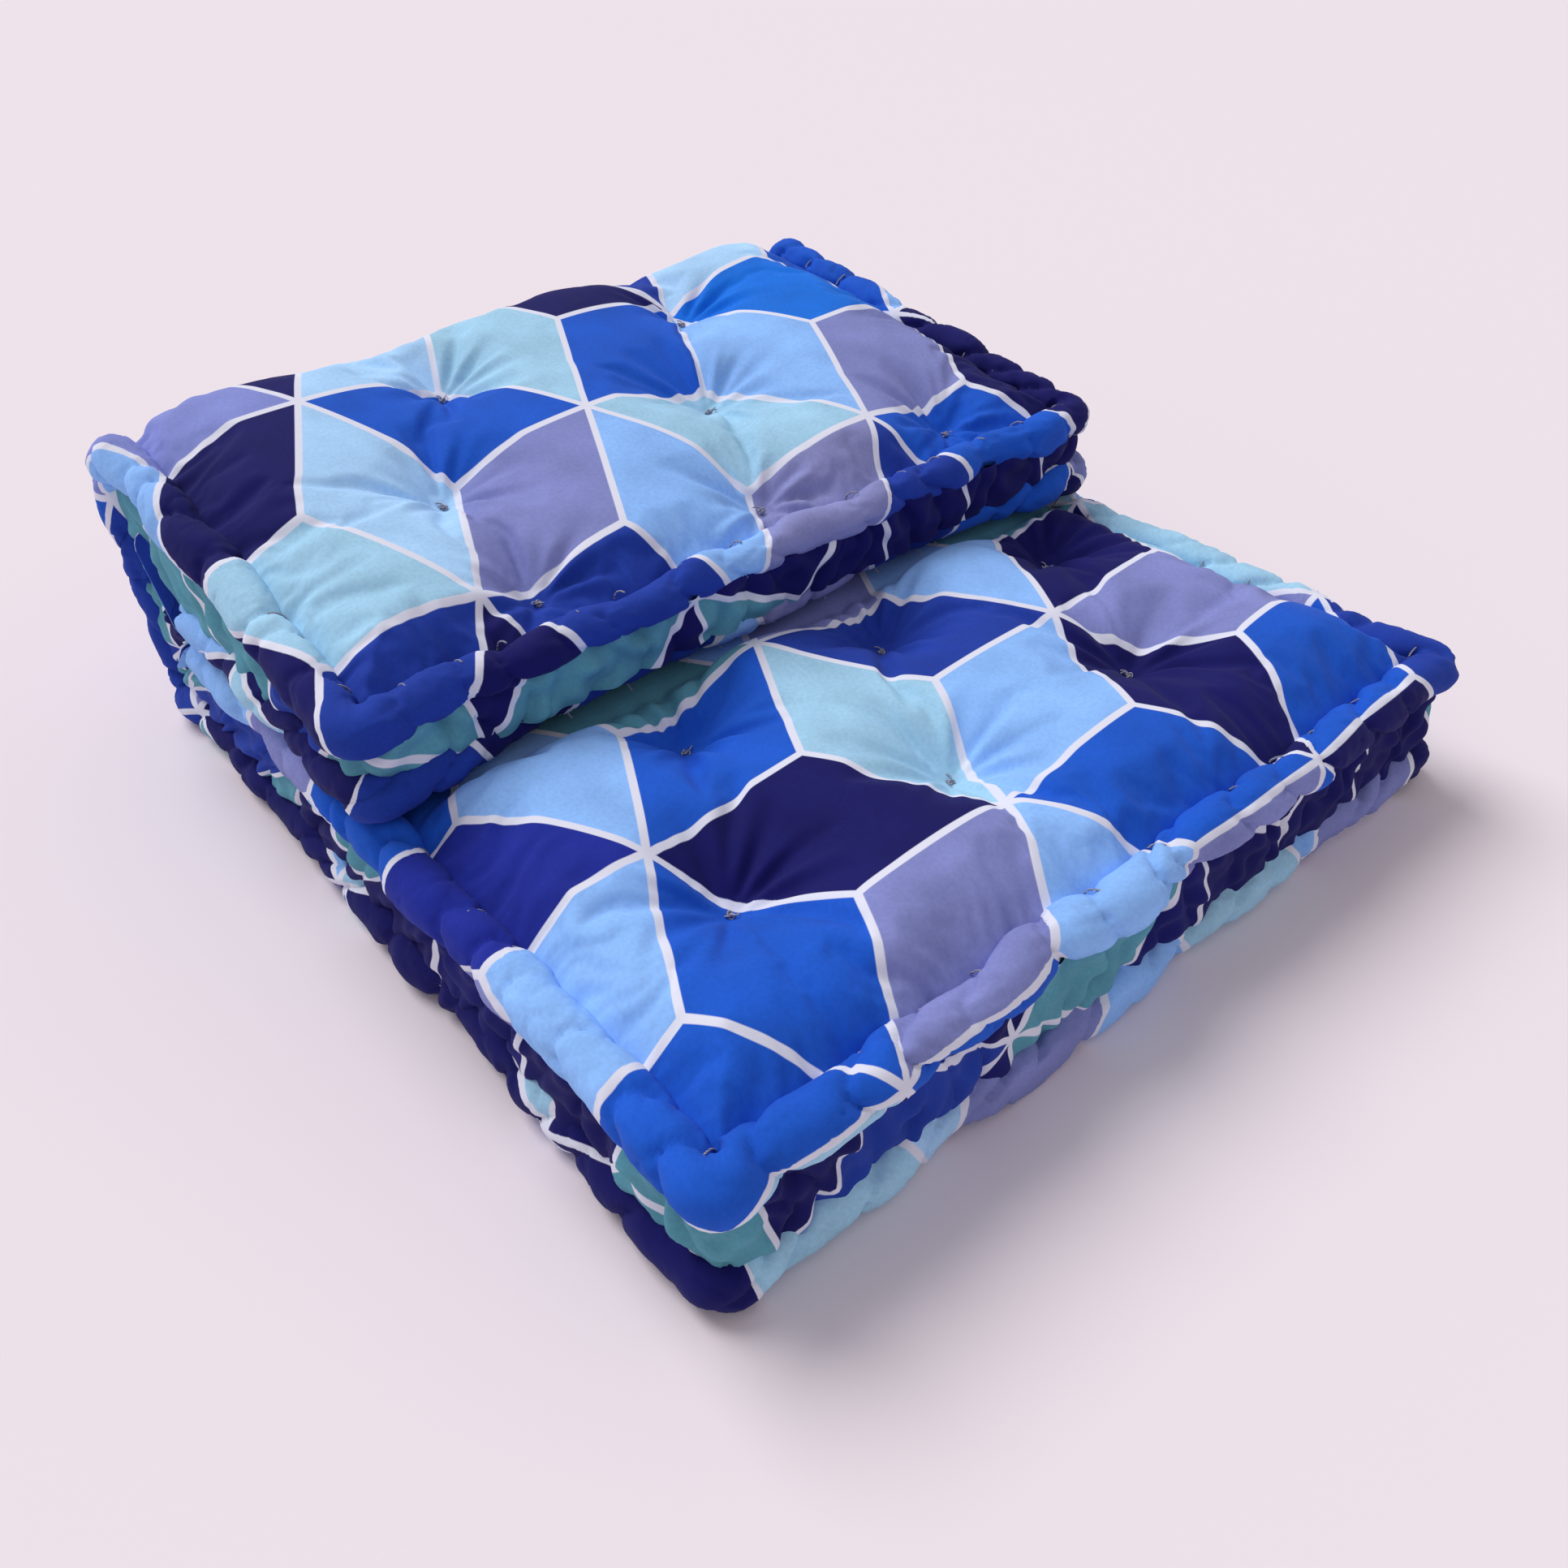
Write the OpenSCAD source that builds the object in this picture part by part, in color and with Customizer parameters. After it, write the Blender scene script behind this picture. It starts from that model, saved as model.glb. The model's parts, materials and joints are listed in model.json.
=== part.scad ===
// Cotton futon mattress with rolled edges and tufted ties, folded once into two leaves.
// The lower leaf lies flat, the fold back stands up behind it, and the upper leaf lies on top.
// Built from the front left corner of the lower leaf, then centred on its own footprint.
// X runs across the width, Y from the front edge to the fold, Z up, all in millimetres.

/* [Mattress] */
// Width across the mattress
width = 914; // [700:1:1200]
// Depth of the folded mattress, from the lower front edge to the back of the fold
fold_depth = 990; // [780:1:1300]
// Height of the fold at its back, where the two leaves stack
fold_height = 336; // [310:1:420]
// Set-back of the upper leaf's front edge from the lower leaf's front edge
upper_setback = 440; // [250:1:540]
// Outer radius of the fold's two round back corners
fold_round = 60; // [48:1:90]
// Depth of the inner crease, from the back of the fold
crease_depth = 160; // [130:1:200]
// Distance of each fold line from the outer faces that meet there
fold_line_inset = 13; // [8:1:16]

/* [Rolled edge] */
// Diameter of the hand-stitched roll along every edge
roll_d = 44; // [34:1:54]
// Plan radius of each leaf's corners, measured on the roll's outer side
corner_round = 60; // [50:1:90]
// Height of the plain border between the rolls of the lower leaf
border_h = 60; // [40:1:90]
// Height of the squeezed border at the front of the upper leaf
upper_border_h = 17; // [8:1:40]
// How far the border sits behind the outer side of the rolls
border_recess = 14; // [8:1:17]
// Spacing of the roll's stitches
stitch_pitch = 80; // [50:1:120]
// Length of one visible roll stitch
stitch_len = 14; // [8:1:24]
// Diameter of the waxed stitching twine
twine_d = 3; // [2:0.5:4]

/* [Cover and filling] */
// Thickness of the cotton cover with its quilting wadding
cover_t = 3; // [2:0.5:5]
// Gap between the two leaves
leaf_gap = 1; // [0.8:0.1:4]
// Clearance between pieces that lie against each other
clear = 0.4; // [0.3:0.1:0.8]

/* [Ties] */
// Diameter of the thread that ties the faces together
tie_d = 3; // [2:0.5:5]
// Diameter of the knot at each end of a tie
knot_d = 10; // [8:1:14]
// First row of ties from the lower front edge
tie_first = 205; // [150:1:260]
// Rows of ties in the lower leaf
tie_rows = 4; // [2:1:5]
// Last row of ties in front of the crease
tie_last = 75; // [50:1:120]
// First row of ties from the upper front edge
upper_tie_first = 80; // [70:1:110]
// Last row of ties in front of the back of the fold
upper_tie_last = 125; // [110:1:170]

/* [Hidden] */
$fn = 48;
roll_r = roll_d / 2;
leaf_t = 2 * roll_d + border_h;
upper_z = leaf_t + leaf_gap;
upper_front_h = 2 * roll_d + upper_border_h;
crease = [fold_depth - crease_depth, leaf_t + leaf_gap / 2];
// Slope of the upper face, falling from the fold to the upper front edge
top_slope = (fold_height - upper_z - upper_front_h) / (fold_depth - upper_setback);
top_angle = atan(top_slope);
top_sec = 1 / cos(top_angle);
// Distance by which a line parallel to the upper face drops at the back wall, per unit of offset
top_drop = top_slope + top_sec;
lower_line = [fold_depth - fold_line_inset, fold_line_inset];
upper_line = [fold_depth - fold_line_inset, fold_height - fold_line_inset * top_drop];
// Half the angle by which the side roll's pieces part at a back corner
roll_part = 0.6;
// Straight facets of a back corner's arc
arc_steps = 15;
far = 4 * fold_depth;
tiny = 0.01;
// The side edge of the faces and the outer batts, just inside the rolls
roll_inset = roll_d + clear;
// The side edge of the middle batt, just inside the border
mid_inset = border_recess + cover_t + clear;
// Left margin, right margin and number of ties of each row, front to back
lower_tie_plan = [[185, 241, 3], [285, 141, 3], [185, 241, 3], [285, 141, 3]];
upper_tie_plan = [[230, 168, 3], [238, 352, 2], [338, 253, 2]];

// Height of the upper face at depth y, set in by i from the outside
function top_z(y, i = 0) = fold_height - (fold_depth - y) * top_slope - i * top_sec;

// Point p moved by d to the left of the direction from a to b
function beside(p, a, b, d) =
  let (u = (b - a) / norm(b - a)) p + d * [-u[1], u[0]];

// Point on the line from the crease through p, beyond the outside of the fold
function beyond(p) = crease + (p - crease) * 1.6;

// Centre of a round back corner: the lower one, then the upper one
lower_centre = [fold_depth - fold_round, fold_round];
upper_centre = [fold_depth - fold_round, fold_height - fold_round * top_drop];

module centred() {
  translate([-width / 2, -fold_depth / 2, 0]) children();
}

// Side view (Y, Z) turned upright and drawn from x0 to x1
module side_slab(x0, x1) {
  translate([x0, 0, 0]) rotate([90, 0, 90]) linear_extrude(x1 - x0) children();
}

// Points of a back corner, set in by i: an arc where its radius allows, else the bare corner
function corner_points(c, bare, i, a0, a1) =
  let (r = fold_round - i)
  r < tiny ? [bare] :
    [for (k = [0 : arc_steps]) let (a = a0 + (a1 - a0) * k / arc_steps) c + r * [cos(a), sin(a)]];

// Whole folded side view, set in by i from its outside
module outline(i) {
  back = fold_depth - i;
  polygon(concat(
    [[0, i]],
    corner_points(lower_centre, [back, i], i, -90, 0),
    corner_points(upper_centre, [back, top_z(back, i)], i, 0, 90 + top_angle),
    [[0, top_z(0, i)]]
  ));
}

// Band of the side view between the insets i0 and i1
module band(i0, i1) {
  difference() {
    outline(i0);
    outline(i1);
  }
}

// Side regions of the three bodies, held clear of the two fold planes
module lower_region() {
  a = beyond(lower_line);
  polygon([
    [0, 0], [a[0], 0], beside(a, crease, a, -clear / 2),
    beside(crease, crease, a, -clear / 2) - [0, leaf_gap / 2], [0, leaf_t]
  ]);
}
module fold_region() {
  a = beyond(lower_line);
  b = beyond(upper_line);
  polygon([crease + [clear, 0], beside(a, crease, a, clear / 2), beside(b, crease, b, -clear / 2)]);
}
module upper_region() {
  b = beyond(upper_line);
  polygon([
    [upper_setback, upper_z], beside(crease, crease, b, clear / 2) + [0, leaf_gap / 2],
    beside(b, crease, b, clear / 2), [upper_setback, b[1]]
  ]);
}

// Plan of a leaf from y0 back, set in by i, with round front corners
module plan(y0, i) {
  r = corner_round - i;
  difference() {
    translate([i, y0 + i]) square([width - 2 * i, far]);
    if (r > tiny)
      for (side = [0, 1])
        translate([side * width, 0]) mirror([side, 0])
          difference() {
            translate([i, y0 + i]) square(r);
            translate([corner_round, y0 + corner_round]) circle(r);
          }
  }
}

// A solid that fills a side view and stays inside a leaf's plan
module filled(y0, i, top = far) {
  intersection() {
    side_slab(i, width - i) children();
    linear_extrude(top) plan(y0, i);
  }
}

// Ties

function lower_tie_y(row) =
  tie_first + row * (crease[0] - tie_last - tie_first) / (tie_rows - 1);
function upper_tie_y(row) =
  let (first = upper_setback + upper_tie_first, last = fold_depth - upper_tie_last)
  first + row * (last - first) / (len(upper_tie_plan) - 1);
function tie_x(plan_row, i) =
  plan_row[0] + i * (width - plan_row[0] - plan_row[1]) / (plan_row[2] - 1);

// Lower end of an upper tie at depth y: the leaf's lower face, or the fold plane behind the crease
function upper_tie_low(y) =
  let (rise = (upper_line[1] - crease[1]) / (upper_line[0] - crease[0]))
  max(upper_z, crease[1] + (y + knot_d / 2 - crease[0]) * rise + 2 * clear);

module at_lower_ties() {
  for (row = [0 : tie_rows - 1]) {
    plan_row = lower_tie_plan[row % len(lower_tie_plan)];
    for (i = [0 : plan_row[2] - 1])
      translate([tie_x(plan_row, i), lower_tie_y(row), 0]) children();
  }
}
module at_upper_ties() {
  for (row = [0 : len(upper_tie_plan) - 1])
    for (i = [0 : upper_tie_plan[row][2] - 1])
      translate([tie_x(upper_tie_plan[row], i), upper_tie_y(row), 0])
        let ($tie_y = upper_tie_y(row)) children();
}

// Holes that the ties need: thread holes through the batts, knot holes through the faces
module lower_thread_holes() {
  at_lower_ties() translate([0, 0, -1]) cylinder(d = tie_d + 2 * clear, h = leaf_t + 2);
}
module lower_knot_holes() {
  at_lower_ties() translate([0, 0, -1]) cylinder(d = knot_d + 2 * clear, h = leaf_t + 2);
}
module upper_thread_holes() {
  at_upper_ties() translate([0, 0, leaf_t]) {
    low = upper_tie_low($tie_y);
    cylinder(d = tie_d + 2 * clear, h = far);
    if (low > upper_z) cylinder(d = knot_d + 2 * clear, h = low + cover_t + clear - leaf_t);
  }
}
module upper_knot_holes() {
  at_upper_ties() translate([0, 0, leaf_t]) cylinder(d = knot_d + 2 * clear, h = far);
}

// Rolls

// Straight roll along X or along Y, from its centre line's start
module roll_x(x0, x1, y, z) {
  translate([x0, y, z]) rotate([0, 90, 0]) cylinder(r = roll_r, h = x1 - x0);
}
module roll_y(x, y0, y1, z) {
  translate([x, y0, z]) rotate([-90, 0, 0]) cylinder(r = roll_r, h = y1 - y0);
}

// Front roll with its two round corners, level, with its centre line at height z
module front_roll(y0, z) {
  bend = corner_round - roll_r;
  roll_x(corner_round, width - corner_round, y0 + roll_r, z);
  for (side = [0, 1])
    translate([side * width, 0, 0]) mirror([side, 0, 0])
      translate([corner_round, y0 + corner_round, z]) rotate([0, 0, 180])
        rotate_extrude(angle = 90) translate([bend, 0]) circle(roll_r);
}

// Bend of the side roll, centred on the origin, which leaves the straight roll at angle a0 of the
// side view and turns up to a1
module roll_up(a0, a1) {
  rotate([90, 0, 90]) rotate([0, 0, a0])
    rotate_extrude(angle = a1 - a0) translate([fold_round - roll_r, 0]) circle(roll_r);
}

// The same bend leaving a vertical roll at its lower end, turning down by the angle a
module roll_down(a) {
  mirror([0, 0, 1]) roll_up(0, a);
}

// The same bend leaving a level roll above the centre, turning down at the back by the angle a
module roll_over(a) {
  mirror([0, 1, 0]) roll_up(90, 90 + a);
}

// Places what is drawn level around the outer front roll's centre line on the sloping upper face
module on_slope() {
  y = upper_setback + roll_r;
  translate([0, y, top_z(y, roll_r)]) rotate([top_angle, 0, 0]) children();
}

// Keeps what lies in one body's side region, across the whole width
module within(part) {
  intersection() {
    children();
    side_slab(-1, width + 1)
      if (part == "lower") lower_region();
      else if (part == "fold") fold_region();
      else upper_region();
  }
}

// Outer side roll in three pieces, which part on the middle of each back corner
module lower_side_roll(x) {
  front = corner_round + clear;
  translate([x, lower_centre[0], lower_centre[1]]) {
    roll_up(-90, -45 - roll_part);
    translate([0, 0, roll_r - fold_round]) rotate([90, 0, 0])
      cylinder(r = roll_r, h = lower_centre[0] - front);
  }
}
module fold_side_roll(x) {
  rise = upper_centre[1] - lower_centre[1];
  translate([x, lower_centre[0], lower_centre[1]]) {
    roll_down(45 - roll_part);
    translate([0, fold_round - roll_r, 0]) cylinder(r = roll_r, h = rise);
    translate([0, 0, rise]) roll_up(0, 45 + top_angle / 2 - roll_part);
  }
}
module upper_side_roll(x) {
  front = upper_setback + corner_round + clear;
  above = fold_round - roll_r;
  translate([x, upper_centre[0], upper_centre[1]]) rotate([top_angle, 0, 0]) {
    roll_over(45 + top_angle / 2 - roll_part);
    translate([0, 0, above]) rotate([90, 0, 0])
      cylinder(r = roll_r, h = (upper_centre[0] - front) * top_sec - above * top_slope);
  }
}

// Borders

// Thin wall of a leaf's edge between two insets, drawn over a side view
module edge_wall(y0) {
  intersection() {
    side_slab(-1, width + 1) children();
    linear_extrude(far) difference() {
      plan(y0, border_recess);
      plan(y0, border_recess + cover_t);
    }
  }
}
module front_of(y) {
  intersection() {
    children();
    translate([-1, -1, -1]) cube([width + 2, y + 1 - clear / 2, far]);
  }
}
module behind(y, x0) {
  intersection() {
    children();
    translate([x0, y + clear / 2, -1]) cube([width / 2, far, far]);
  }
}

// Roll stitches

// One visible stitch along X or along Y, centred on its place
module stitch(along_y) {
  rotate(along_y ? [90, 0, 0] : [0, 90, 0]) cylinder(d = twine_d, h = stitch_len, center = true);
}

// Stitches in the groove between the rolls and a level face, around a leaf's free edges
module groove_stitches(y0, y1, z) {
  groove = roll_d - twine_d;
  across = width - 2 * corner_round - stitch_len;
  n_across = floor(across / stitch_pitch);
  for (i = [0 : n_across])
    translate([width / 2 + (i - n_across / 2) * stitch_pitch, y0 + groove, z]) stitch(false);
  n_along = floor((y1 - y0 - corner_round - stitch_len) / stitch_pitch);
  for (i = [0 : n_along], x = [groove, width - groove])
    translate([x, y0 + corner_round + stitch_len + i * stitch_pitch, z]) stitch(true);
}

// Lower leaf

module lower_bottom_batt() {
  color("ivory") centred() within("lower") difference() {
    filled(0, roll_inset) band(cover_t + clear, roll_d);
    lower_thread_holes();
  }
}
module lower_middle_batt() {
  color("ivory") centred() within("lower") difference() {
    filled(0, mid_inset, leaf_t - roll_d - clear) outline(roll_inset);
    lower_thread_holes();
  }
}
module lower_top_batt() {
  color("ivory") centred() within("lower") difference() {
    intersection() {
      filled(0, roll_inset, leaf_t - cover_t - clear) outline(roll_inset);
      translate([0, 0, leaf_t - roll_d]) cube([width, far, far]);
    }
    lower_thread_holes();
  }
}
module lower_bottom_face() {
  color("royalblue") centred() within("lower") difference() {
    filled(0, roll_inset) band(0, cover_t);
    lower_knot_holes();
  }
}
module lower_top_face() {
  color("royalblue") centred() within("lower") difference() {
    intersection() {
      filled(0, roll_inset, leaf_t) outline(roll_inset);
      translate([0, 0, leaf_t - cover_t]) cube([width, far, far]);
    }
    lower_knot_holes();
  }
}
module lower_border() {
  edge_wall(0) intersection() {
    outline(roll_inset);
    square([far, leaf_t - roll_inset]);
  }
}
module lower_front_border() {
  color("cadetblue") centred() front_of(corner_round) lower_border();
}
module lower_left_border() {
  color("cadetblue") centred() within("lower") behind(corner_round, 0) lower_border();
}
module lower_right_border() {
  color("cadetblue") centred() within("lower") behind(corner_round, width / 2) lower_border();
}
module lower_bottom_front_roll() {
  color("mediumblue") centred() front_roll(0, roll_r);
}
module lower_bottom_left_roll() {
  color("mediumblue") centred() lower_side_roll(roll_r);
}
module lower_bottom_right_roll() {
  color("mediumblue") centred() lower_side_roll(width - roll_r);
}
module lower_top_front_roll() {
  color("mediumblue") centred() front_roll(0, leaf_t - roll_r);
}
module lower_top_side_roll(x) {
  within("lower") roll_y(x, corner_round + clear, crease[0] + roll_r, leaf_t - roll_r);
}
module lower_top_left_roll() {
  color("mediumblue") centred() lower_top_side_roll(roll_r);
}
module lower_top_right_roll() {
  color("mediumblue") centred() lower_top_side_roll(width - roll_r);
}
module lower_tie_threads() {
  color("gainsboro") centred() at_lower_ties()
    translate([0, 0, cover_t + clear]) cylinder(d = tie_d, h = leaf_t - 2 * cover_t - 2 * clear);
}
module lower_tie_knots() {
  color("gainsboro") centred() at_lower_ties() {
    cylinder(d = knot_d, h = cover_t);
    translate([0, 0, leaf_t - cover_t]) cylinder(d = knot_d, h = cover_t);
  }
}
module lower_bottom_stitches() {
  color("gainsboro") centred() groove_stitches(0, crease[0], cover_t + twine_d / 2);
}
module lower_top_stitches() {
  color("gainsboro") centred() groove_stitches(0, crease[0], leaf_t - cover_t - twine_d / 2);
}

// Fold back

module fold_outer_batt() {
  color("ivory") centred() within("fold") side_slab(roll_inset, width - roll_inset)
    band(cover_t + clear, roll_d);
}
module fold_middle_batt() {
  color("ivory") centred() within("fold") side_slab(mid_inset, width - mid_inset) difference() {
    outline(roll_inset);
    square([fold_depth - leaf_t + roll_inset, far]);
  }
}
module fold_inner_batt() {
  color("ivory") centred() within("fold") side_slab(roll_inset, width - roll_inset) outline(leaf_t - roll_d);
}
module fold_back_face() {
  color("royalblue") centred() within("fold") side_slab(roll_inset, width - roll_inset) band(0, cover_t);
}
module fold_border(x) {
  within("fold") side_slab(x, x + cover_t) outline(roll_inset);
}
module fold_left_border() {
  color("cadetblue") centred() fold_border(border_recess);
}
module fold_right_border() {
  color("cadetblue") centred() fold_border(width - border_recess - cover_t);
}
module fold_left_roll() {
  color("mediumblue") centred() fold_side_roll(roll_r);
}
module fold_right_roll() {
  color("mediumblue") centred() fold_side_roll(width - roll_r);
}

// Upper leaf

module upper_outer_batt() {
  color("ivory") centred() within("upper") difference() {
    filled(upper_setback, roll_inset) difference() {
      band(cover_t + clear, roll_d);
      square([far, upper_z + roll_inset]);
    }
    upper_thread_holes();
  }
}
module upper_middle_batt() {
  color("ivory") centred() within("upper") difference() {
    filled(upper_setback, mid_inset) difference() {
      outline(roll_inset);
      square([far, upper_z + roll_inset]);
    }
    upper_thread_holes();
  }
}
module upper_inner_batt() {
  color("ivory") centred() within("upper") difference() {
    intersection() {
      filled(upper_setback, roll_inset, upper_z + roll_d) outline(roll_inset);
      translate([0, 0, upper_z + cover_t + clear]) cube([width, far, far]);
    }
    upper_thread_holes();
  }
}
module upper_outer_face() {
  color("royalblue") centred() within("upper") difference() {
    filled(upper_setback, roll_inset) band(0, cover_t);
    upper_knot_holes();
  }
}
module upper_inner_face() {
  color("royalblue") centred() within("upper") difference() {
    filled(upper_setback, roll_inset, upper_z + cover_t) outline(roll_inset);
    upper_knot_holes();
  }
}
module upper_border() {
  edge_wall(upper_setback) difference() {
    outline(roll_inset);
    square([far, upper_z + roll_inset]);
  }
}
module upper_front_border() {
  color("cadetblue") centred() front_of(upper_setback + corner_round) upper_border();
}
module upper_side_border(x0) {
  within("upper") behind(upper_setback + corner_round, x0) upper_border();
}
module upper_left_border() {
  color("cadetblue") centred() upper_side_border(0);
}
module upper_right_border() {
  color("cadetblue") centred() upper_side_border(width / 2);
}
module upper_outer_front_roll() {
  color("mediumblue") centred() on_slope() front_roll(-roll_r, 0);
}
module upper_outer_left_roll() {
  color("mediumblue") centred() upper_side_roll(roll_r);
}
module upper_outer_right_roll() {
  color("mediumblue") centred() upper_side_roll(width - roll_r);
}
module upper_inner_front_roll() {
  color("mediumblue") centred() front_roll(upper_setback, upper_z + roll_r);
}
module upper_inner_side_roll(x) {
  within("upper") roll_y(x, upper_setback + corner_round + clear, crease[0] + roll_r, upper_z + roll_r);
}
module upper_inner_left_roll() {
  color("mediumblue") centred() upper_inner_side_roll(roll_r);
}
module upper_inner_right_roll() {
  color("mediumblue") centred() upper_inner_side_roll(width - roll_r);
}
module upper_tie_threads() {
  color("gainsboro") centred() at_upper_ties() {
    low = upper_tie_low($tie_y) + cover_t + clear;
    high = top_z($tie_y, cover_t + clear) - tie_d * top_slope;
    translate([0, 0, low]) cylinder(d = tie_d, h = high - low);
  }
}
module upper_tie_knots() {
  color("gainsboro") centred() at_upper_ties() {
    translate([0, 0, upper_tie_low($tie_y)]) cylinder(d = knot_d, h = cover_t);
    translate([0, 0, top_z($tie_y, cover_t) + knot_d / 2 * top_slope]) cylinder(d = knot_d, h = cover_t);
  }
}
module upper_outer_stitches() {
  back = (fold_depth - fold_round - upper_setback) * top_sec - roll_r;
  color("gainsboro") centred() on_slope() groove_stitches(-roll_r, back, roll_r - cover_t - twine_d / 2);
}
module upper_inner_stitches() {
  color("gainsboro") centred() groove_stitches(upper_setback, crease[0], upper_z + cover_t + twine_d / 2);
}

lower_bottom_batt();
lower_middle_batt();
lower_top_batt();
lower_bottom_face();
lower_top_face();
lower_front_border();
lower_left_border();
lower_right_border();
lower_bottom_front_roll();
lower_bottom_left_roll();
lower_bottom_right_roll();
lower_top_front_roll();
lower_top_left_roll();
lower_top_right_roll();
lower_tie_threads();
lower_tie_knots();
lower_bottom_stitches();
lower_top_stitches();
fold_outer_batt();
fold_middle_batt();
fold_inner_batt();
fold_back_face();
fold_left_border();
fold_right_border();
fold_left_roll();
fold_right_roll();
upper_outer_batt();
upper_middle_batt();
upper_inner_batt();
upper_outer_face();
upper_inner_face();
upper_front_border();
upper_left_border();
upper_right_border();
upper_outer_front_roll();
upper_outer_left_roll();
upper_outer_right_roll();
upper_inner_front_roll();
upper_inner_left_roll();
upper_inner_right_roll();
upper_tie_threads();
upper_tie_knots();
upper_outer_stitches();
upper_inner_stitches();
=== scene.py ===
# %% [markdown]
# A hand-made cotton futon is a printed cotton case filled with layers of loose batting. A rolled
# edge is sewn along every rim, thread ties pull the two faces together, and the whole mattress
# is folded once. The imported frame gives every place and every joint, so it is loaded first.

# %% Load the frame
import json
import bmesh
import bpy
import numpy as np
from mathutils import Matrix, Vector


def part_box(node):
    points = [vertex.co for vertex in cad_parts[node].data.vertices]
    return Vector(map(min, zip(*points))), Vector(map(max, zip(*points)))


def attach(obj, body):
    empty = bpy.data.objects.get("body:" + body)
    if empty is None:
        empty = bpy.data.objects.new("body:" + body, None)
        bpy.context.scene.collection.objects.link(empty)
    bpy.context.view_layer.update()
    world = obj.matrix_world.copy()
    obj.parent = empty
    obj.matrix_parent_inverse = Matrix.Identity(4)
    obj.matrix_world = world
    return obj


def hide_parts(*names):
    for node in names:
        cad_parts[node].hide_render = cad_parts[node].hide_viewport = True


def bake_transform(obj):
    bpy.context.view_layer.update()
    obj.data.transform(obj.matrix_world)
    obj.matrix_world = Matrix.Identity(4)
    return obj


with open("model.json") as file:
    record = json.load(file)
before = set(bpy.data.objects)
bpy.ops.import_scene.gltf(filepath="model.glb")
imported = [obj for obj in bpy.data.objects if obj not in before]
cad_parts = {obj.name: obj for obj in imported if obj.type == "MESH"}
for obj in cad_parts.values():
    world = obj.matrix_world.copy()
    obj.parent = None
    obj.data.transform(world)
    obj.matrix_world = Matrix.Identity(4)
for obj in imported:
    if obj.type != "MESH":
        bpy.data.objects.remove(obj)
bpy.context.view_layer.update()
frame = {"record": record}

# %% [markdown]
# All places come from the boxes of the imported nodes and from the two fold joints.

# %% Measures of the mattress
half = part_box("lower_top_front_roll")[1][0]
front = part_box("lower_bottom_front_roll")[0][1]
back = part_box("fold_back_face")[1][1]
leaf_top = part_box("lower_top_front_roll")[1][2]
upper_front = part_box("upper_inner_front_roll")[0][1]
upper_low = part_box("upper_inner_front_roll")[0][2]
roll_r = (leaf_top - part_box("lower_top_front_roll")[0][2]) / 2
corner_r = 0.044
fold_r = 0.060
fold_top = 0.336
slope = 0.0820 / 0.550
sec = float(np.hypot(1, slope))
crease = np.array([back - 0.160, (leaf_top + upper_low) / 2])
hinge = {j["name"]: np.array(j["pos_m"], float)[1:] for j in frame["record"]["behaviour"]["joints"]}
middle = (hinge["lower_fold"][1] + hinge["upper_fold"][1]) / 2
print("half width", half, "front", front, "back", back, "hinges", hinge)

# Places of the ties, front to back: left margin, right margin and number of each row
lower_rows = [(0.185, 0.241, 3), (0.285, 0.141, 3), (0.185, 0.241, 3), (0.285, 0.141, 3)]
upper_rows = [(0.230, 0.168, 3), (0.238, 0.352, 2), (0.338, 0.253, 2)]


def tie_places(rows, first, last):
    """Points of the ties: the rows lie evenly from first to last, the ties evenly in each row."""
    ys = np.linspace(first, last, len(rows))
    lines = [
        np.stack([np.linspace(-half + a, half - b, n), np.full(n, y)], 1)
        for (a, b, n), y in zip(rows, ys)
    ]
    return np.concatenate(lines)


lower_ties = tie_places(lower_rows, front + 0.205, crease[0] - 0.075)
upper_ties = tie_places(upper_rows, upper_front + 0.080, back - 0.125)
print(len(lower_ties), "ties in the lower leaf,", len(upper_ties), "in the upper leaf")

# %% [markdown]
# The camera looks down at the front left corner with a fairly wide lens. Its two shifts are as
# small as the framing needs.

# %% Camera
def aim(place, target, roll):
    """Turn of a camera at place that looks at target, turned by roll about its own view."""
    z = (target - place) / np.linalg.norm(target - place)
    x = np.cross(z, [0, 0, 1])
    x /= np.linalg.norm(x)
    y = np.cross(z, x)
    right = np.cos(roll) * x + np.sin(roll) * y
    down = -np.sin(roll) * x + np.cos(roll) * y
    m = np.eye(4)
    m[:3, 0], m[:3, 1], m[:3, 2], m[:3, 3] = right, -down, -z, place
    return Matrix(m.tolist())


eye = bpy.data.cameras.new("camera")
eye.sensor_width = 36.0
eye.lens = 29.82
eye.shift_x = 0.0464
eye.shift_y = -0.0141
camera = bpy.data.objects.new("camera", eye)
bpy.context.scene.collection.objects.link(camera)
camera.matrix_world = aim(
    np.array([-0.7086, -0.8521, 0.8292]), np.array([-0.0675, -0.0057, 0.0]), 0.0466
)
bpy.context.scene.camera = camera
print("camera lens", eye.lens)

# %% [markdown]
# Soft studio light: one very broad, distant lamp, high up and a little behind the mattress, which
# lights the whole floor alike, and a pale surround that fills the shadows.

# %% Floor and lights
def hex_linear(text):
    """sRGB hex to linear: c/12.92 below 0.04045, else ((c + 0.055) / 1.055) ** 2.4."""
    c = np.array([int(text[i : i + 2], 16) / 255 for i in (1, 3, 5)])
    c = np.where(c <= 0.04045, c / 12.92, ((c + 0.055) / 1.055) ** 2.4)
    return (*c, 1.0)


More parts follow.
